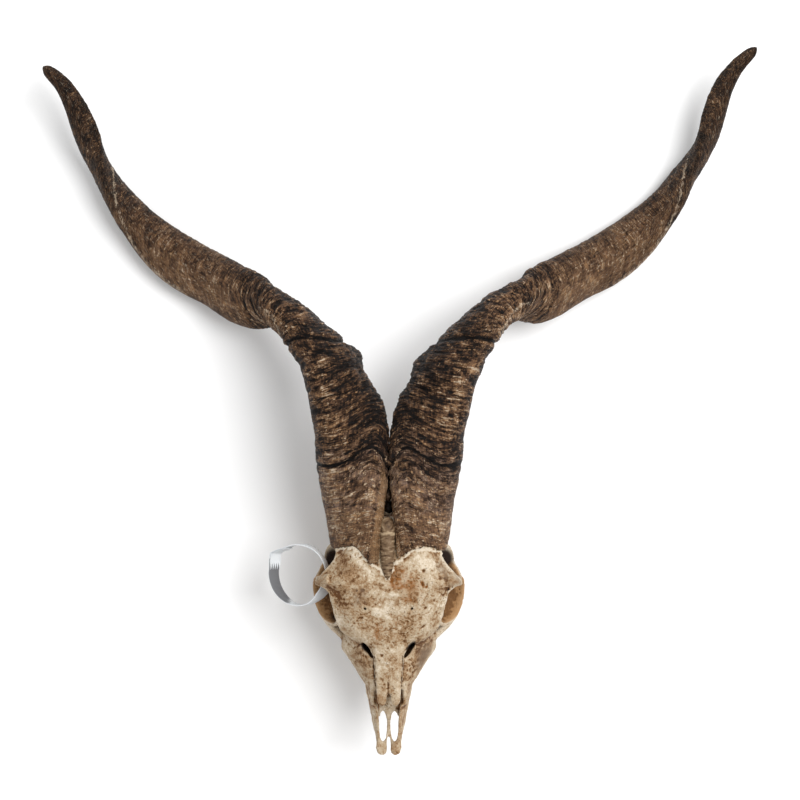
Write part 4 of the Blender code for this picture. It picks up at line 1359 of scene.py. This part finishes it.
    def wrinkle(self, rings: Array, rows: Array, places: Array, angles: Array) -> tuple[Array, dict]:
        """Works out the relief and the masks at each ring and corner.

        Args:
            rings: The smooth rings.
            rows: The middle of each.
            places: How far along the horn each is.
            angles: The angle of each corner from the keel.

        Returns:
            The relief in millimetres, and the masks by name.
        """
        s = np.repeat(places[:, None], len(angles), 1)
        t = np.gradient(rows[:, :2], axis=0)
        t /= np.linalg.norm(t, axis=1, keepdims=True)
        inner = np.stack([-t[:, 1], t[:, 0]], 1) * self.side.value
        share = ((rings[:, :, :2] - rows[:, None, :2]) * inner[:, None]).sum(2) / rows[:, 3][:, None]
        wave = self.wave(rings, s, share)
        a = np.repeat(angles[None], len(places), 0)
        skin = np.stack([np.cos(a) * SHEATH_RADIUS, np.sin(a) * SHEATH_RADIUS, wave], 2).reshape(-1, 3)
        broad, folds, fine, lumps, streak = self.grains(skin, s.shape)
        bold = read_off(self.bold, wave)
        folds = 0.5 - 1.6 * np.abs(folds)
        relief = bold * (broad * 0.8 + folds * 0.7 + fine * 0.35) + lumps * 0.4 + streak * 0.15
        furrow = self.cut_furrows(wave, share, skin, broad, relief)
        gap = np.abs(rings[:, :, 0]) - read_off(self.groove, rings[:, :, 1])
        base = (1 - smooth(wave, 52, 66)) * smooth(rings[:, :, 2] - rows[:, None, 2], 8, 16)
        relief -= hump(gap, 0, 1.2) * base
        relief += smooth(wave, *self.step) * 0.5
        relief *= 0.35 + 0.65 * smooth(share, -0.98, -0.6)
        relief += hump(share, -1, 0.4) * sum(height * hump(s, at, wide) for at, wide, height in self.lobes)
        black = self.blackness(wave, share) + hump(gap, 0, 1.3) * base * 0.4 + hump(furrow, 1, 0.5) * 0.3
        spots = spread(self.spots, rings.reshape(-1, 3)).reshape(s.shape)
        # Lighter on the wrinkles' crests and darker in their troughs: wear, with painted highlight and
        # painted shade along the relief.
        crest = (broad * 0.55 + folds * 0.75 + fine * 0.3) * np.clip(bold, 0.5, 1.2) + 0.4
        masks = {
            "wave": wave,
            "crest": np.clip(crest, 0, 1),
            "furrow": furrow,
            "black": np.clip(black, -0.3, 1),
            # tan: the spots, the horn's tan zones and the painted sheen along its middle.
            "tan": np.clip(self.lightness(wave, share) + spots * 1.6, -1.5, 2.5),
            "grey": read_off(self.greyed, wave),
            "vivid": read_off(self.vivid, wave),
            "strip": base * smooth(-gap, 0.5, 2.5) * self.strip,
            "scratch": smooth(wave, 265, 300),
            # edge: painted highlight along the keel and the ridge.
            "edge": self.keel_line(share, s, lumps) + self.ridge_line(wave, share),
        }
        return relief * np.minimum(1, (self.length - s) / 12), masks

    def grains(self, skin: Array, shape: tuple) -> list[Array]:
        """Makes the noises: broad swellings, folds, fine lines, lumps and streaks along the horn.

        Args:
            skin: The places for the noise.
            shape: How many rings and corners there are.

        Returns:
            The noises.
        """
        seed = 10 if self.side is Side.LEFT else 0
        made = [grain(skin, size, octaves, seed + i) for i, (size, octaves) in enumerate(self.noises)]
        return [values.reshape(shape) for values in made]

    def cut_furrows(self, wave: Array, share: Array, skin: Array, broad: Array, relief: Array) -> Array:
        """Cuts the deep lines into the relief, each with raised lips.

        A furrow's row has its place on the wave, half width, depth, wander and how far it bows.

        Args:
            wave: The wrinkles' coordinate.
            share: The place across the horn.
            skin: The places for the noise.
            broad: The broad swellings, which break the lines up.
            relief: The relief, which this changes.

        Returns:
            How deep in a furrow each place is, from 0 to 1.
        """
        total = np.zeros_like(wave)
        for at, wide, deep, wander, bow in self.furrows:
            drift = grain(skin, (14, 14, 80), 3, at).reshape(wave.shape) * wander
            gap = wave - at + drift + bow * share * share
            strength = smooth(broad * 0.9 + deep * 0.5, 0.15, 0.75)
            cut = hump(gap, 0, wide) * strength
            total = np.maximum(total, cut * min(1, deep / 1.2))
            relief -= cut * deep
            for lip, height in ((2.3, 0.5), (-2.3, 0.3)):
                relief += hump(gap, wide * lip, wide * 1.2) * strength * deep * height
        return total

    def blackness(self, wave: Array, share: Array) -> Array:
        """Where the horn is nearly black."""
        darker = smooth(share, 0, 0.85) - hump(share, -0.5, 0.25)
        return read_off(self.blacks, wave) + read_off(self.inner_blacks, wave) * darker

    def lightness(self, wave: Array, share: Array) -> Array:
        """Where the horn is tan: a painted sheen along its middle, and its own tan near the base and past the
        bend.
        """
        middle = hump(share, -0.5, 0.28) * read_off(self.middle_tan, wave) * self.sheen
        return middle + hump(wave, 330, 50) * 0.6 + hump(wave, 20, 25) * 0.45

    def keel_line(self, share: Array, s: Array, lumps: Array) -> Array:
        """The pale line along the keel, a painted highlight, which crosses the outer part from one edge to
        the other.
        """
        ends = smooth(s, 325, 360) * (1 - smooth(s, 474, 496))
        return hump(share, read_off(self.keel, s), 0.1) * ends * (0.45 + 0.55 * smooth(lumps, -0.2, 0.3))

    def ridge_line(self, wave: Array, share: Array) -> Array:
        """The pale line that bounds the ringed face above the bend, a painted highlight on the ridge."""
        ends = smooth(wave, 172, 182) * (1 - smooth(wave, 222, 244))
        return hump(share, read_off(self.ridge, wave), 0.07) * ends * 0.7


RIGHT_HORN = Horn(
    Side.RIGHT,
    "horn_right",
    stations=(
        (-27.9, -126.4, 106, 33.8, 19.9, 23), (-28.3, -105.1, 112, 33.8, 20.1, 34),
        (-29.3, -84.9, 117, 33.6, 20.2, 46), (-29.9, -64.9, 120, 34, 20.4, 60),
        (-31.4, -44.1, 121, 33, 20.1, 70), (-32.3, -24.2, 120.5, 32.1, 19.8, 82),
        (-37.4, -5.1, 117, 31.2, 19.6, 108), (-43.7, 14.4, 111.5, 30.3, 19.4, 128),
        (-51.4, 33.9, 104, 29.9, 18.9, 138), (-63.9, 50.3, 94, 28.5, 17.5, 152),
        (-78.2, 65.1, 82, 26.9, 16.2, 168), (-95.4, 78.4, 69, 25.7, 15.4, 180),
        (-115.3, 85.9, 55, 25.1, 14.9, 235), (-135.6, 96, 41.1, 24.3, 14.6, 258),
        (-154.4, 106.6, 29.6, 23.4, 14.1, 265), (-174.2, 116.6, 20.7, 23.6, 14.2, 272),
        (-192.8, 128.1, 16.7, 23.3, 14.1, 281), (-209.5, 141.3, 15.9, 21.3, 13.4, 290),
        (-224.6, 156, 16.8, 18.8, 12, 304), (-238.1, 171.8, 20, 17.2, 11.1, 318),
        (-249.8, 188.8, 24.5, 15.8, 10.2, 339), (-259.1, 206.8, 30, 14.2, 9.1, 360),
        (-266.6, 225, 36, 13.4, 8.7, 395), (-273.6, 244.4, 42, 11.9, 7.7, 425),
        (-281.2, 263, 47, 9.4, 6.1, 440), (-290.8, 280.2, 52, 7.2, 4.7, 452),
        (-303, 292.6, 55.6, 5.3, 3.6, 462), (-308.6, 297.4, 57, 3, 2.2, 468),
    ),
    knobs=((128, 14, 0.03), (172, 9, 0.3), (262, 12, 0.05)),
    rim=(
        (7, -141), (12.5, -140), (16.8, -141), (19.3, -136), (24.5, -130), (29.7, -125), (41.7, -127.3),
        (50.3, -131.6), (55, -132),
    ),
    groove=((-126, 17.5), (-114, 15), (-100, 13), (-86, 11), (-71, 9)),
    ledge=((-140, 10), (-124, 9.8), (-105, 7.5), (-86, 4.3), (-71, 2)),
    spots=(
        (-53.4, -23, 6, 2.2), (-47.4, -25.7, 2.5, 4, 0, 0.8), (-49, -60, 5, 3, 20, 0.8),
        (-54, -68.5, 4, 6, -20, 0.8), (-23.4, -61.6, 2.5, 2, 40, 1), (-20, -39.3, 5, 2, -35, 0.8),
        (-34.6, 11.2, 3, 1.5, 20, 0.8), (-41.7, 43.7, 4, 1.2, 0, 0.7), (-69.4, 52.5, 5, 2, 10, 1),
        (-83, 56, 2, 7, -10, 0.7), (-146, 108, 1.8, 1.8, 0, 1.2), (-177, 101, 2.5, 4, 20, 0.6),
    ),
)
LEFT_HORN = Horn(
    Side.LEFT,
    "horn_left",
    stations=(
        (28.4, -126.4, 106, 34, 20.6, 23), (28.4, -104.3, 112, 34, 20.6, 34),
        (29.2, -83.1, 117, 33.6, 20.2, 46), (30.7, -62.3, 120, 34.2, 20.4, 60),
        (32.2, -40.7, 121, 33.4, 20.3, 70), (35, -19.9, 120.5, 31.7, 19.6, 82),
        (41.8, 0.1, 117, 30.6, 19.2, 108), (48, 20.5, 111.5, 30.6, 19.6, 128),
        (59.3, 39.3, 104, 29.1, 18.4, 138), (72.5, 56.9, 94, 27.2, 16.8, 152),
        (87.6, 72.7, 82, 26.2, 15.8, 168), (106.1, 85.1, 69, 25.2, 15.1, 180),
        (128.1, 91.2, 55, 25.3, 15, 235), (148.4, 102.3, 41.1, 24, 14.3, 258),
        (168.6, 112.9, 29.6, 23.1, 13.9, 265), (189.7, 123.4, 20.7, 23.6, 14.2, 272),
        (208.3, 135.4, 16.7, 23.2, 14, 281), (225.8, 149.9, 15.9, 21.2, 13.3, 290),
        (241.5, 165.5, 16.8, 18.6, 11.9, 304), (255.4, 181.8, 20, 16.7, 10.7, 318),
        (266.6, 200.5, 24.5, 15.3, 9.9, 339), (278.2, 218.5, 30, 13.9, 8.9, 360),
        (286.6, 237.6, 36, 12.3, 7.9, 395), (292.2, 257.8, 42, 10.8, 7, 425), (298.9, 278.2, 47, 9, 5.8, 440),
        (309.5, 295.9, 52, 6.7, 4.4, 452), (322.6, 309.2, 55.6, 4.8, 3.3, 462),
        (328, 314.6, 57.2, 2.6, 1.9, 468),
    ),
    knobs=((126, 8, 0.05), (154, 9, 0.16), (188, 9, 0.18), (262, 12, 0.05)),
    rim=(
        (4, -138), (11.6, -134.5), (18.5, -129), (22.8, -127.3), (34, -126), (42.6, -129), (47.7, -132.4),
        (54, -133),
    ),
    groove=((-126, 19.5), (-114, 18.5), (-86, 18), (-62, 17)),
    ledge=((-138, 8), (-124, 7.5), (-105, 7), (-86, 4.5), (-71, 2.5)),
    spots=(
        # The spot at (30, -95) of strength -0.35 is painted shade: it darkens this horn's base, on which the
        # key light falls more than on the other horn's.
        (61, -3, 6, 6, 0, 0.5), (56, 14, 6, 4, 0, 0.5), (63, 30, 5, 7, 0, 0.5), (30, -95, 40, 60, 0, -0.35),
        (27, -78, 12, 8, 0, 0.3), (37, -106, 10, 10, 0, 0.3), (13, -18, 4, 3, 0, 0.6), (8, 2, 2, 4, 0, 0.6),
        (42, -54, 9, 1.2, -8, 0.8), (131, 105, 3, 3, 0, 0.7), (150, 100, 44, 26, 30, 0.22),
        (215, 150, 34, 30, 0, 0.24), (230, 127, 4, 3, 30, 0.5),
    ),
    tilt=3,
    sheen=0.6,
    strip=0.3,
)


@dataclass
class Nub:
    """The small growth of horn on the midline, between the two sheaths, with dry matter behind it."""

    stations: Rows = (
        (-0.9, -154.5, 133, 1, 1.2), (-0.9, -150, 133.3, 3.2, 3.4), (-0.9, -143, 133.8, 4.9, 5),
        (-0.9, -134, 134, 5.9, 5.8), (-0.9, -124, 134, 6.6, 6.3), (-0.9, -114, 133.6, 6.9, 6.5),
        (-0.9, -107, 133.2, 6.4, 6.2), (-0.9, -103.5, 132.4, 4.9, 5), (-0.9, -101.6, 131.6, 2.2, 2.4),
    )
    matter: Rows = (
        (-0.6, -82, 128, 3.6, 6, 5, 0), (0, -92, 121, 4.6, 6, 5, 0), (0.4, -72, 124, 2.2, 6, 5, 0),
        (-0.4, -64, 112, 3.2, 16, 14, 0),
    )
    band_at: float = -114.5
    second_band_at: float = -83
    dome_at: tuple = (-0.4, -106.5)

    def build(self) -> None:
        """Sweeps, wrinkles and paints the nub."""
        lumps = [ball(row) for row in self.matter]
        for lump in lumps:
            modify(lump, "SUBSURF", levels=1)
        nub = join([Bar(self.stations, sides=72, steps=160).build(), *lumps], "midline_nub_horn")
        points = points_of(nub)
        x, y, z = points.T
        from_dome = np.linalg.norm(points[:, :2] - self.dome_at, axis=1)
        along = np.where(y < self.band_at, y, self.band_at - from_dome)
        rings = grain(np.stack([x * 0.3, along, z * 0.3], 1), 1.9, 2, 1)
        band = hump(y, self.band_at, 1.3)
        lift = rings * 0.55 + band * 0.35 + grain(points, 1.8, 2, 2) * 0.25
        move_points(nub, points + normals_of(nub) * lift[:, None])
        paint(nub, "crest", np.clip(rings + 0.5, 0, 1))
        paint(nub, "band", band + 0.8 * hump(y, self.second_band_at, 3.4))
        # Darker low on the sides, painted shade where they fall away between the sheaths, and darker on the
        # dry matter behind the dome.
        paint(nub, "low", np.clip(1 - smooth(z, 130, 136) + smooth(y, -103, -98) * 0.75, 0, 1))
        hand_over(nub, Slot.NUB, NubFinish().build(), "midline_nub")


@dataclass
class Teeth:
    """Six cheek teeth on each side, in rows along the palate.

    A tooth's size is its length, width and number of lobes. A level is a height towards the root and the
    outline's scale there, down to the worn, hollow chewing face.
    """

    sizes: Rows = ((7.6, 7, 1), (8.6, 8, 1), (9, 9, 1), (11.6, 10, 2), (13.2, 10.6, 2), (14, 10.2, 2))
    front: tuple = (0, -254, 51.6)
    way: tuple = (0, 0.906, -0.423)
    across: Rows = ((0, 15.5), (8, 17.5), (17, 20), (26, 22.5), (38, 25.5), (50, 28), (64, 29.5))
    crown_up: tuple = (0, 0.423, 0.906)
    spacing: float = 0.4
    levels: Rows = (
        (12, 0.8), (9, 0.9), (6, 0.97), (3.5, 1), (1.2, 0.99), (0.2, 0.93), (0, 0.84), (0.8, 0.7),
        (1.5, 0.5), (1.7, 0.3), (1.2, 0.12),
    )

    def build(self) -> None:
        """Makes every tooth, each with its own mesh."""
        look = ToothFinish().build()
        for side in (Side.RIGHT, Side.LEFT):
            start = 0
            for number, size in enumerate(self.sizes, 1):
                self.tooth(start, size, side.value, f"tooth_{side.name.lower()}_{number}", look)
                start += size[0]

    def tooth(self, start: float, size: Row, side: int, node: str, look: Look) -> None:
        """Makes one tooth.

        Args:
            start: How far behind the front of the row it begins.
            size: Its size.
            side: 1 for the left, -1 for the right.
            node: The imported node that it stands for.
            look: Its material.
        """
        long, wide, lobes = size
        middle = start + long / 2
        centre = np.array(self.front) + np.array(self.way) * middle
        centre[0] = read_off(self.across, middle)
        outline = self.outline(long - self.spacing, wide, lobes)
        rings = []
        for height, scale in self.levels:
            ring = centre + np.array(self.crown_up) * height + np.outer(outline[:, 0], self.way) * scale
            ring[:, 0] += outline[:, 1] * scale
            ring[:, 0] *= side
            rings.append(ring)
        made = tube(f"{node}_crown", np.array(rings))
        heights = np.repeat([level[0] for level in self.levels], len(outline))
        folds = np.tile(smooth(-np.abs(outline[:, 1]), -wide * 0.44, -wide * 0.3), len(self.levels))
        for name, values in (("root", smooth(heights, 4, 10)), ("fold", folds)):
            paint(made, name, np.resize(values, len(made.data.vertices)))
        hand_over(made, Slot.TOOTH, look, node)

    def outline(self, long: float, wide: float, lobes: int) -> Array:
        """Draws a crown's outline: each lobe bulges, with a fold where it meets the next.

        Args:
            long: Its length.
            wide: Its width.
            lobes: How many lobes it has.

        Returns:
            The outline's points.
        """
        span = long / lobes
        cheek = []
        for i in range(lobes):
            middle = (i + 0.5) * span - long / 2
            cheek += [(middle + span * x, wide * z) for x, z in ((-0.46, 0.34), (0, 0.5), (0.46, 0.34))]
        tongue = [(x, -z) for x, z in cheek[::-1]]
        return catmull(cheek + tongue, 14 * lobes + 14, closed=True)


@dataclass
class TagStrap:
    """A thin paper band closed into a ring that twists as it goes round, with a notched patch inside it.

    The leans pair an angle round the ring with the band's twist there. The corner is the angle, reach and
    height of the bulge at its bend, and the shaded part lies between four angles.
    """

    centre: tuple = (-78, -154, 80)
    radii: tuple = (27.6, 26.4)
    tilt: float = 30
    leans: Rows = (
        (0, 12), (45, 14), (90, 25), (135, 40), (180, 44), (225, 40), (270, 26), (300, 36), (322, 54),
        (342, 36), (360, 12),
    )
    width: float = 12
    thickness: float = 0.8
    ripple: float = 0.25
    steps: int = 180
    corner: tuple = (144, 26, 4.6)
    patch_from: float = 118
    patch_to: float = 158
    patch_slant: float = 4
    patch_depths: tuple = (-0.95, -0.4)
    overhang: float = 0.5
    tooth_length: float = 14
    teeth: int = 5
    shaded: tuple = (150, 156, 236, 262)
    rounding: float = 0.15
    sharp_angle: float = 40

    def build(self) -> None:
        """Makes the band and its patch."""
        half, thick = self.width / 2, self.thickness
        band = []
        for angle in np.linspace(0, 360, self.steps + 1):
            wave = self.ripple * math.sin(math.radians(angle * 3))
            corners = ((0, -half), (thick, -half), (thick, half), (0, half))
            band.append([self.point(angle, out + wave, up) for out, up in corners])
        strap = tube("strap_band", np.array(band), ring_shaped=True)
        places = points_of(strap) - self.centre
        angle = np.degrees(np.arctan2(places[:, 1], places[:, 0])) % 360
        # Painted shade: the worn mask greys the ring's inner face between the shaded angles; the patch gets
        # none.
        inner = smooth(-(places * normals_of(strap)).sum(1), 0, 3)
        start, full, late, end = self.shaded
        paint(strap, "worn", inner * smooth(angle, start, full) * (1 - smooth(angle, late, end)))
        patch = self.patch()
        paint(patch, "worn", np.zeros(len(patch.data.vertices)))
        made = join([strap, patch], "tag_strap_paper")
        modify(made, "BEVEL", width=self.rounding * MM, segments=2, limit_method="ANGLE")
        hand_over(made, Slot.STRAP, StrapFinish().build(), "tag_strap")
        only(made)
        bpy.ops.object.shade_smooth_by_angle(angle=math.radians(self.sharp_angle))

    def patch(self) -> Piece:
        """Makes the patch inside the joint, whose lower end is cut into teeth.

        Returns:
            The patch.
        """
        inner, outer = self.patch_depths
        rings = []
        for share in np.linspace(0, 1, 8 * self.teeth + 1):
            notch = abs(((share * self.teeth) % 1) - 0.5) * 2
            last = self.patch_to + self.tooth_length * (1 - notch)
            angles = np.linspace(self.patch_from - self.patch_slant * share, last, 14)
            up = (share * 2 - 1) * (self.width / 2 + self.overhang)
            ring = [self.point(angle, inner, up) for angle in angles]
            rings.append(ring + [self.point(angle, outer, up) for angle in angles[::-1]])
        return tube("strap_patch", np.array(rings))

    def point(self, angle: float, out: float, up: float) -> Array:
        """Finds a point of the strap.

        Args:
            angle: The angle round its ring in degrees.
            out: The distance out of the ring.
            up: The distance along its axis.

        Returns:
            The place.
        """
        a = math.radians(angle)
        lean = math.radians(read_off(self.leans, angle % 360))
        tilt = math.radians(self.tilt)
        axis = np.array((-math.sin(lean), 0, math.cos(lean)))
        level = np.array((math.cos(tilt), 0, math.sin(tilt)))
        at, reach, height = self.corner
        out += height * max(0, 1 - abs(angle - at) / reach) ** 1.5
        x = (self.radii[0] + out) * math.cos(a)
        y = (self.radii[1] + out) * math.sin(a)
        return np.array(self.centre) + level * x + np.array((0, y, 0)) + axis * up


@dataclass
class Studio:
    """A white floor, soft light from the right, and the camera straight above."""

    camera_at: tuple = (0.0004, -0.0029, 2.2)
    lens: float = 108.135
    sensor: float = 36
    key_at: tuple = (1.2, 0.5, 2.7)
    key_aim: tuple = (0, 0, 0.05)
    key_power: float = 78
    key_size: float = 1.8
    fill: float = 0.7
    floor_size: float = 8
    floor_height: float = -0.0005

    def build(self) -> None:
        """Adds the floor, the lights and the camera."""
        self.floor()
        self.lamp()
        self.sky()
        self.camera()
        bpy.context.scene.view_settings.view_transform = "Standard"

    def floor(self) -> None:
        """Adds the white floor."""
        deselect()
        bpy.ops.mesh.primitive_plane_add(size=self.floor_size, location=(0, 0, self.floor_height))
        floor = bpy.context.active_object
        floor.name = "floor"
        bpy.ops.object.transform_apply()
        r = Recipe("floor_finish")
        white = r.cloud(r.place(), 400, 2)
        colour = r.mix((0.9, 0.9, 0.9, 1), (0.92, 0.92, 0.92, 1), white)
        floor.data.materials.append(r.finish(colour, 0.9, white, 0.01))

    def lamp(self) -> None:
        """Adds the soft key light."""
        deselect()
        bpy.ops.object.light_add(type="AREA", location=self.key_at)
        key = bpy.context.active_object
        key.name = "key_light"
        key.data.shape = "DISK"
        key.data.size = self.key_size
        key.data.energy = self.key_power
        aim = Vector(self.key_aim) - Vector(self.key_at)
        key.rotation_euler = aim.to_track_quat("-Z", "Y").to_euler()

    def sky(self) -> None:
        """Lights the scene evenly from all round."""
        world = bpy.data.worlds.new("studio")
        world.use_nodes = True
        back = world.node_tree.nodes["Background"]
        back.inputs["Color"].default_value = (1, 1, 1, 1)
        back.inputs["Strength"].default_value = self.fill
        bpy.context.scene.world = world

    def camera(self) -> None:
        """Sets up the camera at the photograph's angle."""
        deselect()
        bpy.ops.object.camera_add(location=self.camera_at, rotation=(0, 0, 0))
        made = bpy.context.active_object
        made.data.lens = self.lens
        made.data.sensor_width = self.sensor
        bpy.context.scene.camera = made


def main() -> None:
    """Builds every sub-assembly in order."""
    logging.basicConfig(level=logging.INFO, format="%(message)s")
    for part in (Studio(), Skull(), RIGHT_HORN, LEFT_HORN, Nub(), Teeth(), TagStrap()):
        part.build()


if __name__ == "__main__":
    main()
